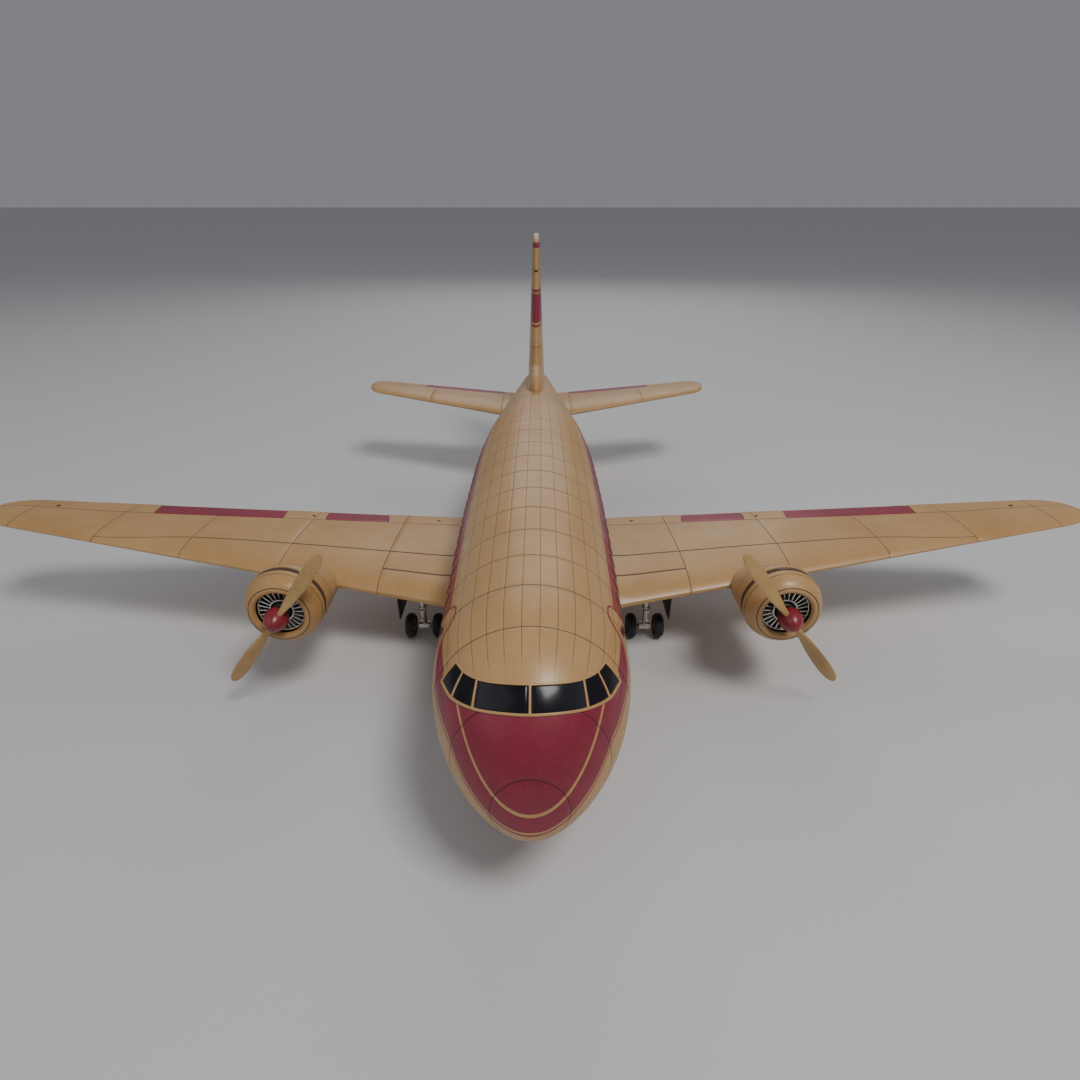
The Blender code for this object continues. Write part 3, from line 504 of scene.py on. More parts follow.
# near-black enamel: the own dark colour of the filler caps and the lamp slot, and painted shade in the gill
# groove
dark_enamel_and_groove_shade = enamel_finish("dark_enamel_and_groove_shade", (0.030, 0.018, 0.012), (0.015, 0.009, 0.007),
                            (0.06, 0.04, 0.03), 0.6)
blade_ochre = enamel_finish("blade_ochre", (0.52, 0.33, 0.13), (0.38, 0.22, 0.075), (0.66, 0.47, 0.24))
spinner_red = enamel_finish("spinner_red", (0.27, 0.018, 0.032), (0.16, 0.012, 0.020), (0.42, 0.07, 0.07),
                            0.26)
print("finishes mixed:", len(bpy.data.materials))

# %% [markdown]
# ## The livery's masks
# Each stripe is one inequality. On the nose (`z` against a parabola in `x`) there is, from the belly
# up: cream, a thin pinstripe, a cream line, the broad crimson band, the bright U line and the crimson
# hood before the windscreen. Beside the pilot the band narrows as it runs aft, and behind the
# pilot's side window a new crimson band starts, which holds the cabin windows.

# %% Write the body's crimson mask
EDGE_SOFT = 0.12
U_LOW = (47.55, 0.0485)
U_HIGH = (48.75, 0.0500)
U_TOP = 71.0
SILL = (-204.7, 0.00303, 2.65)
NOSE_BAND = (41.5, 0.0338)
CHEEK_FOOT, CHEEK_RISE = 46.2, 0.62
PIN_LOW, PIN_HIGH = 0.85, 1.6
PILOT_FRONT, PILOT_BACK = -186.0, -170.0
PILOT_FOOT, PILOT_RISE = 15.4, 0.72
PILOT_TOP, PILOT_FALL = 31.0, 0.12
CABIN_FRONT, CABIN_BACK, CABIN_SLANT = -156.0, 110.0, 0.35
BAND_FOOT, BAND_TOP = 12.5, 33.0


def nose_line(x, start, bend, power=2.0):
    """Height of a parabola over the nose at x, all in millimetres."""
    reach = abs(x)
    return start + bend * reach.math("POWER", reach, power)


def body_red(wire):
    """The crimson mask: the nose's bands, then the pilot's, then the cabin's."""
    _, x, y, z = places(wire)
    lift = wire.node("ShaderNodeAttribute", {"attribute_name": "lift"}, None, output=2)
    soft = EDGE_SOFT
    hood = (z - nose_line(x, *U_HIGH)).above(0.0, soft) * (y - nose_line(x, *SILL)).below(0.0, soft)
    fall = nose_line(x, *NOSE_BAND).least(CHEEK_FOOT + abs(x) * CHEEK_RISE) - z
    front = (z - nose_line(x, *U_LOW).least(U_TOP)).below(0.0, soft) * fall.below(0.0, soft)
    pin = fall.between(PIN_LOW, PIN_HIGH, soft)
    before = y.below(PILOT_FRONT, 0.1)
    # beside the pilot the band's foot rises until only the looped tape is left
    ahead = y.between(PILOT_FRONT, PILOT_BACK, 0.1)
    foot = PILOT_FOOT + (y - PILOT_FRONT) * PILOT_RISE
    pilot = lift.below(PILOT_TOP - (y - PILOT_FRONT) * PILOT_FALL, 0.3) * lift.above(foot, 0.3)
    pilot_pin = (foot - lift).between(1.6, 3.0, 0.3)
    cabin = (y - CABIN_FRONT - (BAND_TOP - lift) * CABIN_SLANT).above(0.0, 0.2)
    cabin = cabin * lift.between(BAND_FOOT, BAND_TOP, 0.3) * y.below(CABIN_BACK, 0.4)
    return ((front + pin + hood) * before + (pilot + pilot_pin) * ahead + cabin).least(1.0)


livery = satin("body_livery", body_red)
print("livery written")

# %% [markdown]
# ## The body skin
# The real skin would be sheets riveted to round frames and long stringers, which is why its joints
# make rings and lengthwise lines. One sheet is wrapped right round the outline above; the rings come
# every 20 mm and the lengthwise lines every 10 degrees. On the hood the paint fills the lengthwise
# lines, so there they fade out.

# %% Wrap the body
RING_STEP = 20.14
RINGS = [-204.4 + RING_STEP * i for i in range(21)]
RADOME_JOINT = -217.1
STRIPS = [-85.0 + 10.0 * i for i in range(36)]


def body_shape(y, degrees, depth):
    if y >= 220.0:
        return Vector((0.0, BODY_END, 68.2))
    spot = skin_point(max(y, NOSE_TIP), degrees)
    width, top, bottom = section(max(y, NOSE_TIP + 0.01))
    middle = Vector((0.0, y + (2.0 if y < NOSE_BASE else 0.0), (top + bottom) / 2))
    return spot + (middle - spot).normalized() * depth


def body_lift(y, degrees):
    return degrees if degrees <= 90 else 180 - degrees


def strips_keep(y, degrees):
    return 0.55 * min(max((y + 200.0) / 8.0, 0.0), 1.0) * min(max((215.0 - y) / 20.0, 0.0), 1.0)


def body_stops():
    nose = [(NOSE_BASE - NOSE_LENGTH * math.sin(math.radians(a)), 0.0) for a in range(90, 3, -3)]
    lines = [RADOME_JOINT] + RINGS
    clear = [stop for stop in nose if all(abs(stop[0] - line) > 0.5 for line in lines)]
    rings = []
    for line in lines:
        slope = math.sqrt(1 - min(abs(min(line - NOSE_BASE, 0.0)) / NOSE_LENGTH, 0.97) ** 2)
        rings += [(line + shift * LINE_HALF * slope, float(shift == 0)) for shift in (-1, 0, 1)]
    forward = [ring for ring in rings if ring[0] < NOSE_BASE]
    return sorted(clear + forward) + stops(NOSE_BASE + 0.3, 219.9, 3.4, RINGS[3:]) + [(220.0, 0.0)]


around = stops(-90.0, 270.0, 3.4, STRIPS, half=0.42)
finish_piece(wrap(body_stops(), around, body_shape, body_lift, strips_keep),
             "body_skin", "airframe", livery,
             ("fuselage_upper", "fuselage_lower", "radome", "tail_cone"), sharp=60)

# %% [markdown]
# ## Windscreen
# Six flat-looking panes wrap round the nose, held by a slim frame. The frame is one grid with its
# pane openings deleted, given a thickness, so the bars meet without seams. Each pane is its own
# slightly sunk sheet of dark glass, and the two middle panes grow paler towards their outer ends, a
# painted reflection.

# %% Lay the frame and the panes
SCREEN_TOP = ((0.0, -201.5), (15.4, -196.9), (19.9, -192.4), (22.5, -187.9))
SCREEN_FOOT = ((0.0, -207.9), (16.5, -203.0), (23.4, -196.3), (27.5, -188.1))
FRAME_HALF = 0.37


def edge_plan(corners, a):
    """Plan place along the curved top or foot of the windscreen; a counts panes from the middle."""
    whole = [(-x, y) for x, y in reversed(corners[1:])] + list(corners)
    run = [0.0]
    for here, there in zip(whole, whole[1:]):
        run.append(run[-1] + math.dist(here, there))
    keep = min(max(a, -3.0), 3.0)
    length = float(np.interp(keep, range(-3, 4), run))
    at = Vector([curve([(r, xy[n]) for r, xy in zip(run, whole)], length) for n in (0, 1)])
    if keep == a:
        return at
    inner = Vector([curve([(r, xy[n]) for r, xy in zip(run, whole)],
                          length * (0.999 if a > 0 else 1.0) + (0.05 if a < 0 else 0.0)) for n in (0, 1)])
    return at + (at - inner).normalized() * (abs(a) - 3.0) * math.dist(whole[0], whole[1])


def screen_point(a, b, proud):
    plan = edge_plan(SCREEN_FOOT, a).lerp(edge_plan(SCREEN_TOP, a), b)
    spot = skin_over(plan.x, plan.y)
    across = skin_over(plan.x + 0.2, plan.y) - spot
    along = skin_over(plan.x, plan.y + 0.2) - spot
    return spot + across.cross(along).normalized() * proud


def pane_length(i, b):
    return (screen_point(i + 1, b, 0) - screen_point(i, b, 0)).length


def screen_frame():
    tall = (screen_point(0, 1, 0) - screen_point(0, 0, 0)).length
    rim = FRAME_HALF / tall
    us = []
    for i in range(-3, 3):
        share = FRAME_HALF / pane_length(i, 0.5)
        cuts = 10 if i in (-1, 0) else 5
        us += [i + share + (1 - 2 * share) * k / cuts for k in range(cuts + 1)]
    side = FRAME_HALF / pane_length(2, 0.5)
    us = [-3 - side] + us + [3 + side]
    vs = [-rim, rim] + [rim + (1 - 2 * rim) * k / 6 for k in range(1, 6)] + [1 - rim, 1 + rim]
    bm = wrap([(u, 0.0) for u in us], [(v, 0.0) for v in vs], lambda a, b, depth: screen_point(a, b, 0.36))
    chart = bm.loops.layers.uv["skin"]
    panes = []
    for face in bm.faces:
        a = sum(loop[chart].uv.x for loop in face.loops) / len(face.loops) / MM
        b = sum(loop[chart].uv.y for loop in face.loops) / len(face.loops) * 100
        share = FRAME_HALF / pane_length(min(max(math.floor(a), -3), 2), 0.5)
        if rim < b < 1 - rim and share < a - math.floor(a) < 1 - share and abs(a) < 3:
            panes.append(face)
    bmesh.ops.delete(bm, geom=panes, context="FACES")
    return bm


def thicken(piece, thickness, edge=0.0):
    wall = piece.modifiers.new("wall", "SOLIDIFY")
    wall.thickness = thickness * MM
    wall.offset = -1.0
    if edge:
        round_over = piece.modifiers.new("edge", "BEVEL")
        round_over.width = edge * MM
        round_over.segments = 2
        round_over.limit_method = "ANGLE"
        round_over.angle_limit = math.radians(50)
    return piece


frame_piece = finish_piece(screen_frame(), "windscreen_bars", "airframe", cream_paint,
                           ("windscreen_frame",), outward=False)
thicken(frame_piece, 0.7, 0.12)


def pane(i):
    steps = [(k / 10, 0.0) for k in range(11)]
    bm = wrap([(i + k, 0.0) for k, _ in steps], steps, lambda a, b, depth: screen_point(a, b, 0.13))
    # rim grows towards the outer ends of the two middle panes: a painted reflection on the glass
    rim = bm.verts.layers.float.new("rim")
    for vert in bm.verts:
        vert[rim] = min(abs(vert.co.x) / (17.0 * MM), 1.0) ** 3 if i in (-1, 0) else 0.0
    return bm


for i in range(-3, 3):
    stands = ("windscreen_glass",) if i == 0 else ()
    glass = finish_piece(pane(i), "windscreen_pane_" + str(i + 4), "airframe", screen_glass,
                         stands, outward=False)
    thicken(glass, 0.6)

# %% [markdown]
# ## Cabin windows and side trim
# The cabin windows are rounded panes in the crimson band, each with a thin surround. One function
# lays a rounded patch on the skin, and a loop repeats it along the band. The looped pinstripe round
# the pilot's window is a strip of crimson tape laid along a path on the skin.

# %% Fit the side windows and the tape
WINDOW_PITCH = 10.07
WINDOW_COUNT = 17
WINDOW_FIRST = -139.0
WINDOW_LIFT = 20.0


def side_spot(side, y, lift, proud):
    degrees = lift if side > 0 else 180 - lift
    spot = skin_point(y, degrees)
    width, top, bottom = section(y)
    turn = math.radians(degrees)
    out = Vector((math.cos(turn) / width, 0.0, math.sin(turn) / ((top - bottom) / 2))).normalized()
    return spot + out * proud


def window_patch(side, y, lift, wide, tall, slant, proud, joined):
    """A rounded pane on the skin: a square grid whose corners are drawn in."""
    def shape(s, t, depth):
        across = s * math.sqrt(1 - 0.30 * t * t)
        up = t * math.sqrt(1 - 0.30 * s * s)
        radius = section(y)[0]
        angle = lift + math.degrees(up * tall / 2 / radius) + slant * across
        return side_spot(side, y + across * wide / 2, angle, proud - 0.05 * (s * s + t * t))
    steps = [(-1 + k / 4, 0.0) for k in range(9)]
    patch = wrap(steps, steps, shape)
    if side < 0:
        bmesh.ops.reverse_faces(patch, faces=patch.faces)
    join(joined, patch)


def tape(side, path, proud):
    """A strip that follows stations of (y, lift, width) on the body's side."""
    us = [(k / 4, 0.0) for k in range(4 * (len(path) - 1) + 1)]

    def at(u, n):
        return curve([(i, spot[n]) for i, spot in enumerate(path)], u)

    def shape(u, v, depth):
        y, lift = at(u, 0), at(u, 1)
        ahead = (at(min(u + 0.05, len(path) - 1), 0), at(min(u + 0.05, len(path) - 1), 1))
        behind = (at(max(u - 0.05, 0), 0), at(max(u - 0.05, 0), 1))
        radius = section(y)[0]
        run = Vector((ahead[0] - behind[0], math.radians(ahead[1] - behind[1]) * radius)).normalized()
        shift = v * at(u, 2) / 2
        return side_spot(side, y - run.y * shift, lift + math.degrees(run.x * shift / radius), proud)
    bm = wrap(us, [(-1.0, 0.0), (0.0, 0.0), (1.0, 0.0)], shape)
    if side < 0:
        bmesh.ops.reverse_faces(bm, faces=bm.faces)
    return bm


LOOP = ((-184.0, 19.0, 0.8), (-176.0, 23.0, 1.9), (-171.0, 27.0, 1.5), (-168.6, 33.0, 1.0),
        (-166.6, 39.0, 0.8), (-162.0, 40.6, 0.75), (-158.0, 38.6, 0.75), (-155.8, 34.0, 0.7),
        (-153.8, 25.0, 0.8), (-150.5, 15.0, 0.9), (-146.0, 8.0, 0.9))
for name, side in (("left", -1), ("right", 1)):
    panes = bmesh.new()
    surrounds = bmesh.new()
    for i in range(WINDOW_COUNT):
        y = WINDOW_FIRST + WINDOW_PITCH * i
        window_patch(side, y, WINDOW_LIFT, 5.0, 6.4, 0.0, 0.30, panes)
        window_patch(side, y, WINDOW_LIFT, 6.0, 7.4, 0.0, 0.22, surrounds)
    window_patch(side, -160.5, 21.5, 7.0, 3.6, -3.0, 0.30, panes)
    window_patch(side, -160.5, 21.5, 7.8, 4.4, -3.0, 0.22, surrounds)
    thicken(finish_piece(panes, "cabin_panes_" + name, "airframe", cabin_glass,
                         ("window_strip_" + name,), outward=False), 0.5)
    thicken(finish_piece(surrounds, "window_surrounds_" + name, "airframe", crimson_paint,
                         outward=False), 0.5)
    thicken(finish_piece(tape(side, LOOP, 0.12), "pilot_loop_" + name, "airframe", crimson_paint,
                         outward=False), 0.3)

# %% [markdown]
# ## Wings
# A wing is a row of aerofoil sections that shrink and rise towards the tip. The wrapped sheet runs
# from the trailing edge over the top to the leading edge and back beneath. Ribs make the chordwise
# lines and the spars the spanwise ones. At the root the section swells into a fillet, and the bays
# for the flap and the aileron are cut afterwards with a round-nosed form. Whatever swings on a hinge
# is cut and made by one function, `hang`, here and in the tail.

# %% Shape the wings
WING_ROOT = 39.0
WING_TIP = 280.0
WING_BEND = 261.0
CONTROL_CHORD = 12.5
WING_LINES = (74.0, 123.0, 172.0, 217.0, 261.0)
ARC_LINES = (1.0, 2.0, 2.356, 4.0, 5.0)
SPAR_PLACES = ((24.0, 0.40), (74.0, 0.38), (123.0, 0.35), (172.0, 0.27), (217.0, 0.06), (281.0, 0.05))


def wing_lead(x):
    return -94.0 + (x - WING_ROOT) * 0.1507


def wing_trail(x):
    return -0.5 - (x - WING_ROOT) * 0.1294


def wing_height(x):
    return 34.0 + (x - WING_ROOT) * 0.112


def wing_depth(x):
    return (0.13 - 0.03 * (x - WING_ROOT) / (WING_TIP - WING_ROOT)) * (wing_trail(x) - wing_lead(x))


def foil(fraction, thickness):
    """Half thickness of an aerofoil at a fraction of its chord, with a blunt trailing edge."""
    f = min(max(fraction, 0.0), 1.0)
    even = 0.2969 * math.sqrt(f) - 0.1260 * f - 0.3516 * f ** 2 + 0.2843 * f ** 3 - 0.1015 * f ** 4
    return 5 * thickness * even + 0.18 * f


def chord_place(v, chord, aft, spar):
    """Fraction of the chord and side (+1 top) at v: 0 trailing edge, 1 hinge, 2 spar, 3 leading edge,
    and the same places beneath up to 6; past 6 it is back at the start, which closes the sheet."""
    v = 0.0 if v > 6 else v
    side = 1 if v <= 3 else -1
    v = v if v <= 3 else 6 - v
    hinge = 1 - aft / chord
    if v <= 1:
        return 1 - (1 - hinge) * v, side
    if v <= 2:
        return hinge + (spar - hinge) * (v - 1), side
    return spar * (1 - math.sin(math.pi / 2 * (v - 2))), side


def tapered(x, bend, tip, lead, trail, depth, pull):
    """Front, back and thickness at x; past the bend they draw in to a rounded tip."""
    if x <= bend:
        return lead(x), trail(x), depth(x)
    keep = max(1 - ((x - bend) / (tip - bend)) ** 2.5, 0.0) ** 0.4
    front, back = lead(x), trail(x)
    middle = front + (back - front) * pull
    return middle + (front - middle) * keep, middle + (back - middle) * keep, depth(x) * math.sqrt(keep)


def wing_shape(side):
    def shape(x, v, depth):
        front, back, thick = tapered(x, WING_BEND, WING_TIP, wing_lead, wing_trail, wing_depth, 0.42)
        chord = max(back - front, 0.01)
        spar = curve(SPAR_PLACES, x)
        fraction, over = chord_place(v, chord, min(CONTROL_CHORD, chord * 0.3), spar)
        swell = 1.0 + 0.75 * (max(48.0 - x, 0.0) / 20.0) ** 2
        height = foil(fraction, thick) * (chord > 0.05) * swell
        reach = 2.5 * (max(46.0 - x, 0.0) / 16.0) ** 2
        y = front - reach + (chord + reach) * fraction
        return Vector((side * x, y, wing_height(x) + over * max(height - depth, 0.0)))
    return shape


def wing_keep(x, v):
    """The nose line is only in the root bay; the spar line stops where it meets the leading edge."""
    if abs(v - 2.356) < 0.02:
        return float(x < 74.2)
    if abs(v - 2.0) < 0.02 or abs(v - 4.0) < 0.02:
        return float(x < 217.2)
    return 1.0


def tip_stops(bend, tip):
    """Stops that crowd towards the tip."""
    return [(bend + (tip - bend) * math.sin(math.radians(a)), 0.0)
            for a in (9, 18, 27, 36, 45, 54, 63, 72, 79, 84, 88, 90)]


TRAIL_HALF = 0.18
CUTTER_FLARE = 1.5


def hinge_axes(start, end, normal):
    """Unit vectors along a hinge line, out of the surface and towards the back."""
    along = (end - start).normalized()
    up = (normal - along * normal.dot(along)).normalized()
    back = along.cross(up)
    return along, up, back if back.y > 0 else -back


def hinged_form(start, end, normal, radii, chords, tail=None, lines=()):
    """A closed form with a round front along a hinge line. With a tail width it tapers to the back, and
    without one it widens, for cutting."""
    _, up, back = hinge_axes(start, end, normal)

    def shape(u, v, depth):
        centre = start.lerp(end, u)
        radius = radii[0] + (radii[1] - radii[0]) * u - depth
        chord = chords[0] + (chords[1] - chords[0]) * u
        v = 0.0 if v > 16 else v
        if 4 <= v <= 12:
            turn = math.pi / 2 + math.pi * (v - 4) / 8
            return centre + back * radius * math.cos(turn) + up * radius * math.sin(turn)
        far = v / 4 if v < 4 else (16 - v) / 4
        over = 1 if v < 4 else -1
        end_half = radius + CUTTER_FLARE if tail is None else tail
        half = end_half + (radius - end_half) * far
        return centre + back * chord * (1 - far) + up * over * half
    us = stops(0.0, 1.0, 0.04 if tail else 1.0, lines, half=LINE_HALF / (end - start).length)
    vs = [(float(k), 0.0) for k in range(18)]
    bm = close_ends(wrap(us, vs, shape))
    bmesh.ops.recalc_face_normals(bm, faces=bm.faces)
    return bm


def cut_away(piece, form):
    """Cut a closed form out of a piece and keep the result as its mesh."""
    mesh = bpy.data.meshes.new("cutter")
    form.to_mesh(mesh)
    form.free()
    item = bpy.data.objects.new("cutter", mesh)
    bpy.context.scene.collection.objects.link(item)
    cut = piece.modifiers.new("cut", "BOOLEAN")
    cut.object = item
    cut.solver = "EXACT"
    bpy.context.view_layer.update()
    made = bpy.data.meshes.new_from_object(piece.evaluated_get(bpy.context.evaluated_depsgraph_get()))
    piece.modifiers.clear()
    piece.data = made
    bpy.data.objects.remove(item)
    piece.data.set_sharp_from_angle(angle=math.radians(40))


SPANS = {"flap": (83.0, 117.0), "aileron": (139.0, 204.0)}
NOSE_SHARE = 0.97
CHORD_SHARE = 0.985
COVE_GAP = 0.4
CUTTER_REACH = 4
UP = Vector((0, 0, 1))


def hang(piece, ends, normal, radii, chords, lines=()):
    """Cut a bay behind a hinge line out of a piece, and make the form that swings in it."""
    cove = [radius + COVE_GAP for radius in radii]
    cut_away(piece, hinged_form(*ends, normal, cove, [chord + CUTTER_REACH for chord in chords[0]]))
    along = (ends[1] - ends[0]).normalized() * GAP
    return hinged_form(ends[0] + along, ends[1] - along, normal, radii, chords[1], TRAIL_HALF, lines)


def hang_flat(piece, side, span, lead, trail, height, depth, widths, lines=()):
    """Hang a surface at the back of a wing or tailplane; widths are its chords at the span's ends."""
    ends, radii = [], []
    for x, width in zip(span, widths):
        ends.append(Vector((side * x, trail(x) - width, height(x))))
        radii.append(foil(1 - width / (trail(x) - lead(x)), depth(x)) * NOSE_SHARE)
    return hang(piece, ends, UP, radii, (widths, [width * CHORD_SHARE for width in widths]), lines)


for name, side in (("left", -1), ("right", 1)):
    us = stops(24.0, WING_BEND - 0.5, 4.0, WING_LINES[:4]) + stops(WING_BEND - 0.5, WING_BEND + 0.5, 1.0,
                                                                 WING_LINES[4:])
    us = sorted(set(us)) + tip_stops(WING_BEND, WING_TIP)
    vs = stops(0.0, 6.0, 0.14, ARC_LINES, half=0.018) + [(6.5, 0.0)]
    sheet = close_ends(wrap(us, vs, wing_shape(side), None, wing_keep))
    wing = finish_piece(sheet, "wing_skin_" + name, "airframe", cream_paint,
                        ("wing_" + name,))
    for part, span in SPANS.items():
        form = hang_flat(wing, side, span, wing_lead, wing_trail, wing_height, wing_depth,
                         (CONTROL_CHORD, CONTROL_CHORD))
        finish_piece(form, part + "_skin_" + name, part + "_" + name, crimson_paint,
                     (part + "_" + name,))

# %% [markdown]
# ## Engines
# Each engine has a short round cowl with a rolled lip, a body that closes over the wing, and a deep
# groove between the two where the cooling gills would be; the near-black ring at the groove's floor is
# painted shade. Round parts are profiles spun about the shaft. Inside the cowl a ring of thin bright
# vanes stands round the dark gearbox.

# %% Turn the cowls and nacelles
ENGINE_X = 106.9
ENGINE_Z = 47.4
PROP_Y = -124.6
LIP_Y = -120.0
VANES = 24
SHAFT = (0, 1, 0)


def turned(profile, centre, axis, sides=48):
    """Spin a closed profile of (radius, distance) points about an axis; millimetres."""
    bm = bmesh.new()
    axis = Vector(axis)
    out = Vector((0, 0, 1)) if abs(axis.z) < 0.5 else Vector((1, 0, 0))
    points = [bm.verts.new((Vector(centre) + out * r + axis * t) * MM) for r, t in profile]
    edges = [bm.edges.new(pair) for pair in zip(points, points[1:] + points[:1])]
    bmesh.ops.spin(bm, geom=points + edges, cent=Vector(centre) * MM, axis=axis, steps=sides,
                   angle=math.tau, use_merge=True, use_duplicate=False)
    bmesh.ops.remove_doubles(bm, verts=bm.verts, dist=MERGE)
    loose = [edge for edge in bm.edges if not edge.link_faces]
    bmesh.ops.delete(bm, geom=loose, context="EDGES")
    bm.verts.layers.float.new("groove")
    return bm


def rounded(profile, amount):
    """Round the corners of a closed profile by cutting them off, twice."""
    for _ in range(2):
        cut = []
        for i, here in enumerate(profile):
            behind, ahead = profile[i - 1], profile[(i + 1) % len(profile)]
            for other in (behind, ahead):
                length = math.dist(here, other)
                step = min(amount / length, 0.3) if length else 0.0
                cut.append((here[0] + (other[0] - here[0]) * step, here[1] + (other[1] - here[1]) * step))
        profile = cut
        amount *= 0.4
    return profile


NACELLE = ((-110.5, 14.6, 62.0, 32.8), (-109.4, 14.6, 62.0, 32.8), (-109.1, 16.0, 63.4, 31.3),
           (-108.2, 16.5, 63.9, 30.9), (-102.0, 16.2, 61.6, 30.8), (-93.0, 15.2, 56.0, 30.4),
           (-84.0, 13.6, 49.5, 30.2), (-70.0, 11.8, 44.0, 30.4), (-50.0, 8.5, 42.0, 32.4),
           (-37.0, 4.4, 41.5, 36.2), (-28.2, 0.6, 41.3, 39.6))


def nacelle_shape(side):
    def shape(y, degrees, depth):
        if y < -109.0:
            below = [ring for ring in NACELLE if ring[0] <= y + 1e-6][-1]
            above = NACELLE[min(NACELLE.index(below) + 1, len(NACELLE) - 1)]
            t = (y - below[0]) / max(above[0] - below[0], 1e-6)
            width, top, bottom = (below[n] + (above[n] - below[n]) * t for n in (1, 2, 3))
        else:
            width, top, bottom = (curve([(ring[0], ring[n]) for ring in NACELLE[2:]], y) for n in (1, 2, 3))
        width = max(width - depth, 0.0)
        turn = math.radians(degrees)
        rise = max((top - bottom) / 2 - depth, 0.0) * math.sin(turn)
        return Vector((side * ENGINE_X + width * math.cos(turn), y, (top + bottom) / 2 + rise))
    return shape


COWL = ((10.2, 1.6), (10.35, 0.6), (10.9, -0.05), (11.6, -0.2), (12.2, -0.05), (12.5, 0.12), (12.8, 0.42),
        (13.1, 0.35), (13.9, 0.95), (14.8, 2.0), (15.6, 3.5), (16.2, 5.2), (16.45, 5.86), (16.35, 6.1),
        (16.55, 6.34), (16.7, 7.4), (16.65, 8.6), (16.3, 9.2), (13.4, 9.2), (13.0, 5.0), (11.4, 2.6))


def mark_grooves(bm, centre, marks):
    """Give the vertices near a spun line the groove value, by radius and distance."""
    layer = bm.verts.layers.float["groove"]
    for vert in bm.verts:
        spot = vert.co / MM - Vector(centre)
        radius = math.hypot(spot.x, spot.z)
        for r, t in marks:
            if abs(radius - r) < 0.06 and abs(spot.y - t) < 0.06:
                vert[layer] = 1.0
    return bm


for name, side in (("left", -1), ("right", 1)):
    x = side * ENGINE_X
    ys = [(-110.5, 1.0), (-109.4, 1.0), (-109.1, 1.0), (-108.6, 1.0), (-108.2, 0.0)]
    ys += stops(-107.9, -28.2, 2.6, (-101.0,))
    sheet = close_ends(wrap(ys, stops(0.0, 360.0, 7.5), nacelle_shape(side)))
    finish_piece(sheet, "nacelle_skin_" + name, "airframe", cream_paint,
                 ("nacelle_" + name,))
    centre = (x, LIP_Y, ENGINE_Z)
    ring = mark_grooves(turned(COWL, centre, SHAFT, 72), centre, ((12.8, 0.42), (16.35, 6.1)))
    finish_piece(ring, "cowl_ring_" + name, "airframe", cream_paint, ("cowl_" + name,))
    # a near-black ring at the groove's floor, painted shade for the deep groove
    gill = turned(((13.2, 8.9), (14.0, 9.6), (14.3, 9.6), (14.3, 11.4), (13.2, 11.4)), centre, SHAFT)
    finish_piece(gill, "gill_groove_" + name, "airframe", dark_enamel_and_groove_shade)

# %% [markdown]
# ## Vanes, gearbox, spinner and blades
# A vane is one small tapered plate; a spin with duplicates copies it round the shaft. The gearbox is a
# stepped turned form with a ring of bolts. The blades are wrapped sheets: narrow at the root, broad
# outside, twisted so that the root bites harder, and as the two engines mirror each other, so do
# their propellers.

# %% Fill the cowls
def repeat_round(bm, x, count):
    """Copy a whole bmesh round the engine's shaft until there are count of it."""
    bmesh.ops.spin(bm, geom=bm.verts[:] + bm.edges[:] + bm.faces[:], cent=Vector((x, 0, ENGINE_Z)) * MM,
                   axis=SHAFT, steps=count - 1, angle=math.tau * (count - 1) / count,
                   use_duplicate=True, use_merge=False)


def vanes_form(x):
    bm = bmesh.new()
    bmesh.ops.create_cube(bm, size=1.0)
    bmesh.ops.bevel(bm, geom=bm.edges[:], offset=0.08, segments=1, affect="EDGES", profile=0.5, material=-1)
    bmesh.ops.scale(bm, verts=bm.verts, vec=Vector((0.55, 3.6, 4.5)) * MM)
    for vert in bm.verts:
        if vert.co.z < 0:
            vert.co.x *= 0.62
    bmesh.ops.rotate(bm, verts=bm.verts, cent=(0, 0, 0), matrix=Matrix.Rotation(math.radians(9), 3, "Z"))
    bmesh.ops.translate(bm, verts=bm.verts, vec=Vector((x, -115.3, ENGINE_Z + 7.45)) * MM)
    repeat_round(bm, x, VANES)
    for profile in (rounded(((4.5, -117.1), (5.4, -117.1), (5.4, -113.6), (4.5, -113.6)), 0.25),
                    rounded(((9.6, -117.0), (10.15, -117.0), (10.15, -113.8), (9.6, -113.8)), 0.2)):
        join(bm, turned(profile, (x, 0, ENGINE_Z), SHAFT))
    return bm


def bolt_ring(x, y, radius, count, size, height):
    """Round bolt heads in a circle on a face that looks forward."""
    bm = bmesh.new()
    bmesh.ops.create_cone(bm, cap_ends=True, segments=6, radius1=size * MM, radius2=size * 0.8 * MM,
                          depth=height * MM)
    bmesh.ops.rotate(bm, verts=bm.verts, cent=(0, 0, 0), matrix=Matrix.Rotation(math.pi / 2, 3, "X"))
    bmesh.ops.translate(bm, verts=bm.verts, vec=Vector((x, y, ENGINE_Z + radius)) * MM)
    repeat_round(bm, x, count)
    return bm


BLADE_RADIUS = 40.0
BLADE_ANGLE = math.radians(52.5)
BLADE = ((0.0, 2.4, 2.0), (5.5, 2.6, 1.9), (11.0, 4.3, 1.6), (19.0, 5.9, 1.35), (28.0, 6.3, 1.1),
         (33.5, 5.7, 0.95), (37.0, 4.4, 0.85), (39.0, 2.7, 0.7), (39.9, 0.9, 0.5))


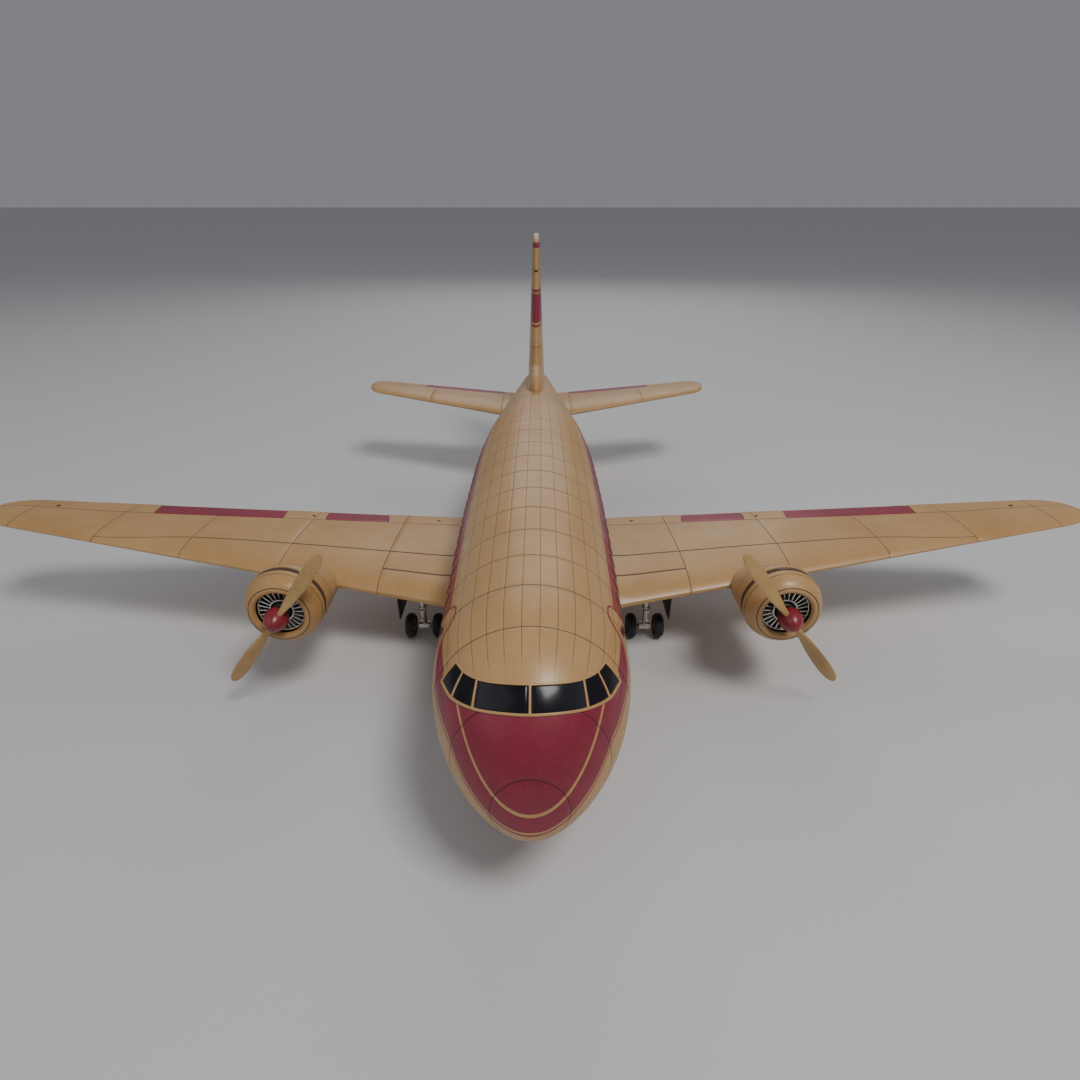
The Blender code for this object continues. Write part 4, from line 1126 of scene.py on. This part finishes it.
def blade_form(side, x, way):
    """One blade; way is 1 or -1, for the two blades that point apart."""
    toward = Vector((side * math.cos(BLADE_ANGLE), 0, -math.sin(BLADE_ANGLE))) * way
    across = Vector(SHAFT).cross(toward) * side

    def shape(u, v, depth):
        reach = min(u, BLADE_RADIUS)
        chord, thick = (curve([(s[0], s[n]) for s in BLADE], reach) * (u < BLADE_RADIUS) for n in (1, 2))
        pitch = math.radians(40 - 22 * reach / BLADE_RADIUS)
        wide = across * math.cos(pitch) + Vector(SHAFT) * math.sin(pitch)
        face = toward.cross(wide)
        turn = math.radians(v)
        centre = Vector((x, PROP_Y, ENGINE_Z)) + toward * reach
        return centre + wide * chord / 2 * math.cos(turn) + face * (thick / 2 - depth) * math.sin(turn)
    ends = [(39.0, 0.0), (39.5, 0.0), (39.9, 0.0), (40.0, 0.0)]
    return close_ends(wrap(stops(1.0, 38.5, 1.2) + ends, stops(0.0, 360.0, 15.0), shape))


SPINNER = ((4.9, 0.0), (5.0, -0.9), (4.92, -2.0), (4.7, -3.2), (4.35, -4.3), (3.85, -5.4), (3.2, -6.4),
           (2.35, -7.3), (1.45, -7.95), (0.7, -8.3), (0.0, -8.4), (0.0, -7.1), (1.8, -6.9), (3.45, -5.4),
           (4.3, -3.0), (4.4, 0.0))
SPINNER_Y = -121.6
for name, side in (("left", -1), ("right", 1)):
    x = side * ENGINE_X
    centre = (x, 0, ENGINE_Z)
    finish_piece(vanes_form(x), "vane_fan_" + name, "airframe", vane_metal,
                 ("vane_ring_" + name,), sharp=30)
    case = turned(rounded(((1.6, -118.1), (3.4, -118.1), (4.0, -117.0), (4.0, -112.2), (10.4, -112.2),
                           (10.4, -110.9), (1.6, -110.9)), 0.2), centre, SHAFT)
    join(case, bolt_ring(x, -118.1, 2.6, 6, 0.32, 0.4))
    finish_piece(case, "gearbox_" + name, "airframe", dark_metal_and_door_shade, ("engine_case_" + name,))
    finish_piece(turned(SPINNER, (x, SPINNER_Y, ENGINE_Z), SHAFT, 64), "spinner_cap_" + name,
                 "prop_" + name, spinner_red, ("spinner_" + name,))
    seat = turned(rounded(((1.6, -126.6), (3.3, -126.6), (3.3, -122.6), (1.6, -122.6)), 0.4), centre, SHAFT)
    join(seat, blade_form(side, x, 1))
    join(seat, blade_form(side, x, -1))
    finish_piece(seat, "blades_" + name, "prop_" + name, blade_ochre,
                 ("propeller_" + name,))

# %% [markdown]
# ## Tail
# The tailplanes are small wings. The tall fin has crimson bands across it, painted by height, and
# grows out of a rounded fairing on the body's back. The rudder hangs behind a cove in the fin.

# %% Shape the tailplanes and elevators
TAIL_ROOT = 14.0
TAIL_BEND = 124.0
TAIL_TIP = 135.0
TAIL_LINES = (26.0, 82.0)
TAIL_Z = 61.5
ELEVATOR_SPAN = (28.0, 92.0)
ELEVATOR_CHORDS = (12.0, 10.0)


def tail_lead(x):
    return 114.0 + (x - TAIL_ROOT) * 0.40


def tail_trail(x):
    return 178.0 + (x - TAIL_ROOT) * 0.14


def tail_height(x):
    return TAIL_Z + (x - TAIL_ROOT) * 0.055


def tail_depth(x):
    return 0.11 * (tail_trail(x) - tail_lead(x))


def tail_shape(side):
    def shape(x, v, depth):
        front, back, thick = tapered(x, TAIL_BEND, TAIL_TIP, tail_lead, tail_trail, tail_depth, 0.6)
        chord = max(back - front, 0.01)
        fraction, over = chord_place(v, chord, min(12.0 - (x - 28) / 32, chord * 0.3), 0.34)
        height = foil(fraction, thick) * (chord > 0.05)
        return Vector((side * x, front + chord * fraction, tail_height(x) + over * max(height - depth, 0.0)))
    return shape


for name, side in (("left", -1), ("right", 1)):
    us = stops(5.0, TAIL_BEND, 3.5, TAIL_LINES) + tip_stops(TAIL_BEND, TAIL_TIP)
    vs = stops(0.0, 6.0, 0.16, (1.0, 5.0), half=0.03) + [(6.5, 0.0)]
    plane = finish_piece(close_ends(wrap(us, vs, tail_shape(side))), "tailplane_skin_" + name, "airframe",
                         cream_paint, ("tailplane_" + name,))
    form = hang_flat(plane, side, ELEVATOR_SPAN, tail_lead, tail_trail, tail_height, tail_depth,
                     ELEVATOR_CHORDS, (0.33, 0.67))
    finish_piece(form, "elevator_skin_" + name, "elevator_" + name, crimson_paint,
                 ("elevator_" + name,))

# %% Shape the fin, its fairing and the rudder
FIN_BEND = 172.0
FIN_TOP = 180.4
FIN_WIDTH = ((74, 12.0), (90, 11.2), (134, 7.8), (172, 5.4), (181, 5.0))
DORSAL = ((79.0, 0.8, 90.3), (81.5, 3.0, 93.0), (87.0, 4.9, 96.6), (96.0, 5.8, 99.4),
          (108.0, 6.2, 100.6), (125.0, 5.8, 99.0), (145.0, 5.2, 95.0), (165.0, 4.4, 88.0))


def fin_lead(z):
    return 106.0 + (z - 90.5) * 0.6136


def fin_trail(z):
    return 218.0 - (z - 90.0) * 0.045


def fin_shape(z, v, depth):
    front, back, thick = tapered(z, FIN_BEND, FIN_TOP, fin_lead, fin_trail,
                                 lambda height: curve(FIN_WIDTH, height), 0.55)
    chord = max(back - front, 0.01)
    fraction, over = chord_place(v, chord, min(24.0, chord * 0.4), 0.30)
    height = foil(fraction, thick) * (chord > 0.05)
    return Vector((over * max(height - depth, 0.0), front + chord * fraction, z))


def fin_red(wire):
    """Crimson bands at four heights: the broad one, the top one and two pinstripes."""
    z = places(wire)[3]
    return (z.between(125.5, 143.0, 0.15) + z.between(172.0, 175.3, 0.15) + z.between(122.5, 124.0, 0.15)
            + z.between(144.2, 146.0, 0.15))


fin_paint = satin("fin_livery", fin_red)
us = stops(76.0, FIN_BEND, 3.0, (110.0, 125.2, 143.3, 158.0)) + tip_stops(FIN_BEND, FIN_TOP)
vs = stops(0.0, 6.0, 0.16, (2.0, 4.0), half=0.03) + [(6.5, 0.0)]
fin = finish_piece(close_ends(wrap(us, vs, fin_shape)), "fin_skin", "airframe", fin_paint,
                   ("fin",))
RUDDER_ENDS = (Vector((0.0, 190.0, 90.0)), Vector((0.0, 198.0, FIN_BEND)))
radii = [foil((end.y - fin_lead(end.z)) / (fin_trail(end.z) - fin_lead(end.z)), curve(FIN_WIDTH, end.z))
         * NOSE_SHARE for end in RUDDER_ENDS]
chords = [(fin_trail(end.z) - end.y) * 0.99 for end in RUDDER_ENDS]
form = hang(fin, RUDDER_ENDS, Vector((1, 0, 0)), radii, (chords, chords), (0.3, 0.6))
finish_piece(form, "rudder_skin", "rudder", fin_paint, ("rudder",))


def dorsal_shape(y, degrees, depth):
    width, top_z = (curve([(ring[0], ring[n]) for ring in DORSAL], y) for n in (1, 2))
    low = 84.0 - max(y - 100.0, 0.0) * 0.09
    turn = math.radians(degrees)
    return Vector(((width - depth) * math.cos(turn), y, low + (top_z - low - depth) * math.sin(turn)))


sheet = wrap(stops(79.0, 165.0, 2.5, (96.0, 125.0)), stops(0.0, 360.0, 10.0), dorsal_shape)
finish_piece(close_ends(sheet), "dorsal_fairing", "airframe", cream_paint)

# %% [markdown]
# ## Undercarriage
# Each main leg is an oleo: a cylinder with a polished piston below it, a pair of links in front, and
# a brace behind. Two wheels share an axle. The wheels are turned from
# profiles with rounded shoulders and shallow grooves, and their hubs are dished and bolted.

# %% Turn the wheels and build the legs
TYRE_RADIUS = 6.4
TYRE_SIDES = 20
AXLE_Z = TYRE_RADIUS * math.cos(math.pi / TYRE_SIDES)
MAIN_X = 57.0
MAIN_Y = -70.0
NOSE_WHEEL_Y = -180.0
NOSE_TYRE = 5.2
NOSE_AXLE_Z = NOSE_TYRE * math.cos(math.pi / TYRE_SIDES)
MAIN_TRACK, MAIN_TREAD = 7.0, 4.6
NOSE_TRACK, NOSE_TREAD = 4.6, 3.6
DOOR_OFFSET = 10.4
AXLE_AXIS = (1, 0, 0)
LEG_AXIS = (0, 0, 1)


def tyre_form(x, y, z, radius, width):
    rim = radius - 2.6
    half = width / 2
    reach = radius * math.cos(math.pi / TYRE_SIDES) - 0.02
    side_wall = [(rim, -half * 0.78), (rim + 0.5, -half * 0.96), (rim + 1.3, -half),
                 (reach - 0.9, -half * 0.86), (reach - 0.3, -half * 0.66), (reach, -half * 0.42)]
    tread = [(reach, -half * 0.26), (reach - 0.16, -half * 0.22), (reach, -half * 0.18), (reach, -0.06)]
    other = [(r, -t) for r, t in reversed(side_wall + tread)]
    return turned(side_wall + tread + other, (x, y, z), AXLE_AXIS, 60)


def bar(start, end, radius, sides=20, ease=0.15):
    """A round bar with eased ends, in millimetres."""
    start, end = Vector(start) * MM, Vector(end) * MM
    bm = bmesh.new()
    bmesh.ops.create_cone(bm, cap_ends=True, segments=sides, radius1=radius * MM, radius2=radius * MM,
                          depth=(end - start).length)
    rims = [edge for edge in bm.edges if {len(face.verts) for face in edge.link_faces} == {4, sides}]
    bmesh.ops.bevel(bm, geom=rims, offset=ease * MM, segments=2, affect="EDGES", profile=0.5, material=-1)
    turn = (end - start).to_track_quat("Z", "Y").to_matrix().to_4x4()
    bmesh.ops.transform(bm, matrix=Matrix.Translation((start + end) / 2) @ turn, verts=bm.verts)
    return bm


def slab(low, high, edge=0.2):
    """A box with bevelled edges between two corners, in millimetres."""
    low, high = Vector(low) * MM, Vector(high) * MM
    bm = bmesh.new()
    bmesh.ops.create_cube(bm, size=1.0)
    bmesh.ops.scale(bm, verts=bm.verts, vec=high - low)
    bmesh.ops.translate(bm, verts=bm.verts, vec=(low + high) / 2)
    bmesh.ops.bevel(bm, geom=bm.edges[:], offset=edge * MM, segments=2, affect="EDGES", profile=0.5,
                    material=-1)
    return bm


def axle_form(x, y, z, offset, radius, width):
    """An axle with a dished hub at each end, held by five bolts."""
    rim = radius - 2.9
    half = width / 2
    outer = offset + half * 0.72
    inner = offset - half * 0.72
    face = [(0.0, outer + 0.45), (0.9, outer + 0.4), (1.1, outer - 0.1), (rim * 0.55, outer - 0.55),
            (rim - 0.45, outer - 0.35), (rim - 0.2, outer), (rim + 0.1, outer), (rim + 0.1, inner),
            (rim - 0.6, inner), (0.8, inner + 0.6)]
    profile = [(r, -t) for r, t in face] + [(r, t) for r, t in reversed(face)]
    bm = turned(profile, (x, y, z), AXLE_AXIS, 40)
    for way in (1, -1):
        for i in range(5):
            turn = math.tau * i / 5
            spot = Vector((x + way * (outer - 0.5), y + 1.75 * math.cos(turn), z + 1.75 * math.sin(turn)))
            join(bm, bar(spot - Vector((0.25, 0, 0)), spot + Vector((0.25, 0, 0)), 0.28, 8, 0.05))
    return bm


def oleo_form(x, y, z, top, fixed, radius, piston):
    """A leg's cylinder, piston and two collars."""
    cylinder = rounded(((0.0, fixed), (radius, fixed), (radius, top), (0.0, top)), 0.3)
    bm = turned(cylinder, (x, y, 0), LEG_AXIS, 32)
    join(bm, turned([(0.0, z), (piston, z), (piston, fixed + 1), (0.0, fixed + 1)], (x, y, 0), LEG_AXIS, 28))
    for height, wide in ((fixed + 0.6, radius + 0.35), (fixed + 5.5, radius + 0.3)):
        collar = rounded(((piston, height - 0.6), (wide, height - 0.6), (wide, height + 0.6),
                          (piston, height + 0.6)), 0.2)
        join(bm, turned(collar, (x, y, 0), LEG_AXIS, 28))
    return bm


for name, side in (("left", -1), ("right", 1)):
    x = side * MAIN_X
    leg = oleo_form(x, MAIN_Y, AXLE_Z + 1.6, 36.0, 17.0, 1.8, 1.25)
    join(leg, turned([(1.15, -2.9), (2.0, -2.9), (2.1, -2.6), (2.1, 2.6), (2.0, 2.9), (1.15, 2.9)],
                     (x, MAIN_Y, AXLE_Z), AXLE_AXIS, 32))
    join(leg, bar((x, MAIN_Y + 0.5, 18.5), (x, MAIN_Y + 11.5, 29.2), 0.8))
    for way in (-1, 1):
        join(leg, bar((x + way * 1.3, MAIN_Y + 2.2, 24.5), (x + way * 0.5, MAIN_Y + 9.8, 28.4), 0.35, 12,
                      0.08))
    join(leg, slab((x - 1.1, MAIN_Y - 3.6, 16.4), (x + 1.1, MAIN_Y - 1.4, 17.4)))
    knee = Vector((x, MAIN_Y - 4.3, 12.6))
    join(leg, bar((x, MAIN_Y - 3.3, 16.9), knee, 0.45, 12, 0.08))
    join(leg, bar(knee, (x, MAIN_Y - 1.6, 8.6), 0.45, 12, 0.08))
    join(leg, bar(knee - Vector((0.9, 0, 0)), knee + Vector((0.9, 0, 0)), 0.55, 12, 0.08))
    finish_piece(leg, "oleo_" + name, "airframe", bright_metal, ("main_leg_" + name,),
                 sharp=40)
    finish_piece(axle_form(x, MAIN_Y, AXLE_Z, MAIN_TRACK, TYRE_RADIUS, MAIN_TREAD), "hubs_" + name,
                 "main_wheels_" + name, warm_metal, ("main_axle_" + name,), sharp=35)
    for way, tag in ((-side, "inner"), (side, "outer")):
        finish_piece(tyre_form(x + way * MAIN_TRACK, MAIN_Y, AXLE_Z, TYRE_RADIUS, MAIN_TREAD),
                     "tyre_" + name + "_" + tag, "main_wheels_" + name, tyre_rubber,
                     ("main_tyre_" + name + "_" + tag,))
    middle = x + side * DOOR_OFFSET
    door = slab((middle - 0.42, MAIN_Y - 8, 15.5), (middle + 0.42, MAIN_Y + 8, 30.6), 0.3)
    for y in (-5, 5):
        join(door, slab((middle - side * 0.4 - 0.45, MAIN_Y + y - 0.4, 17.0),
                        (middle - side * 0.4 + 0.45, MAIN_Y + y + 0.4, 29.0), 0.15))
    join(door, bar((x + side * 1.6, MAIN_Y, 26.5), (middle - side * 0.3, MAIN_Y, 24.0), 0.4, 12, 0.08))
    # the door is blackened metal, and its darkness also stands for the wing's shadow as painted shade
    finish_piece(door, "gear_door_" + name, "airframe", dark_metal_and_door_shade, ("main_door_" + name,),
                 sharp=40)

leg = oleo_form(0.0, NOSE_WHEEL_Y, NOSE_AXLE_Z + 1.4, 29.0, 12.5, 1.6, 1.1)
join(leg, turned([(1.15, -1.9), (1.8, -1.9), (1.9, -1.7), (1.9, 1.7), (1.8, 1.9), (1.15, 1.9)],
                 (0, NOSE_WHEEL_Y, NOSE_AXLE_Z), AXLE_AXIS, 32))
finish_piece(leg, "nose_oleo", "nose_gear", bright_metal, ("nose_leg",), sharp=40)
finish_piece(axle_form(0.0, NOSE_WHEEL_Y, NOSE_AXLE_Z, NOSE_TRACK, NOSE_TYRE, NOSE_TREAD), "nose_hubs",
             "nose_wheels", warm_metal, ("nose_axle",), sharp=35)
for way, tag in ((-1, "left"), (1, "right")):
    finish_piece(tyre_form(way * NOSE_TRACK, NOSE_WHEEL_Y, NOSE_AXLE_Z, NOSE_TYRE, NOSE_TREAD),
                 "nose_wheel_tyre_" + tag, "nose_wheels", tyre_rubber, ("nose_tyre_" + tag,))

# %% [markdown]
# ## Small fittings
# A few tiny fittings keep the big surfaces from looking empty: flush filler caps near the trailing
# edge of each wing and a slot for a lamp high on the fin. They are turned or bevelled from the
# simplest shapes, because at this size only their rims catch the light.

# %% Add caps and the lamp slot
CAP = ((0.0, 0.0), (0.9, 0.0), (1.05, 0.08), (1.15, 0.0), (1.15, -0.6), (0.0, -0.6))
CAP_PLACES = (56.0, 124.5, 252.0)
CAP_FROM_TRAIL = 8.0
LAMP_Z = 157.5


def wing_top(x, y):
    """Height of the wing's upper skin over a place in plan."""
    chord = wing_trail(x) - wing_lead(x)
    return wing_height(x) + foil((y - wing_lead(x)) / chord, wing_depth(x))


for name, side in (("left", -1), ("right", 1)):
    caps = bmesh.new()
    for x in CAP_PLACES:
        y = wing_trail(x) - CAP_FROM_TRAIL
        join(caps, turned(CAP, (side * x, y, wing_top(x, y) + 0.05), LEG_AXIS, 24))
    finish_piece(caps, "wing_caps_" + name, "airframe", dark_enamel_and_groove_shade, sharp=40)
front = fin_lead(LAMP_Z)
lamp = slab((-1.4, front - 0.25, LAMP_Z - 0.5), (1.4, front + 1.2, LAMP_Z + 0.5))
finish_piece(lamp, "fin_lamp_slot", "airframe", dark_enamel_and_groove_shade, sharp=40)

# %% [markdown]
# ## Solids that stay
# The pins, shafts, spar, ballast, bulkhead and the stand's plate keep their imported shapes, because
# those are already right and mostly hidden. They only need finishes.

# %% Dress the solids that stay
KEPT = {"belly_plate": dark_metal_and_door_shade, "wing_spar": plain_steel, "nose_ballast": plain_steel,
        "nose_bulkhead": plain_steel, "rudder_pin": plain_steel}
for side in ("left", "right"):
    KEPT["prop_shaft_" + side] = plain_steel
    for part in ("flap", "aileron", "elevator"):
        KEPT[part + "_" + side + "_pin"] = plain_steel
for name, finish in KEPT.items():
    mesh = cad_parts[name].data
    if not mesh.materials:
        mesh.materials.append(finish)
    for i in range(len(mesh.materials)):
        mesh.materials[i] = finish
print("dressed", len(KEPT), "solids")
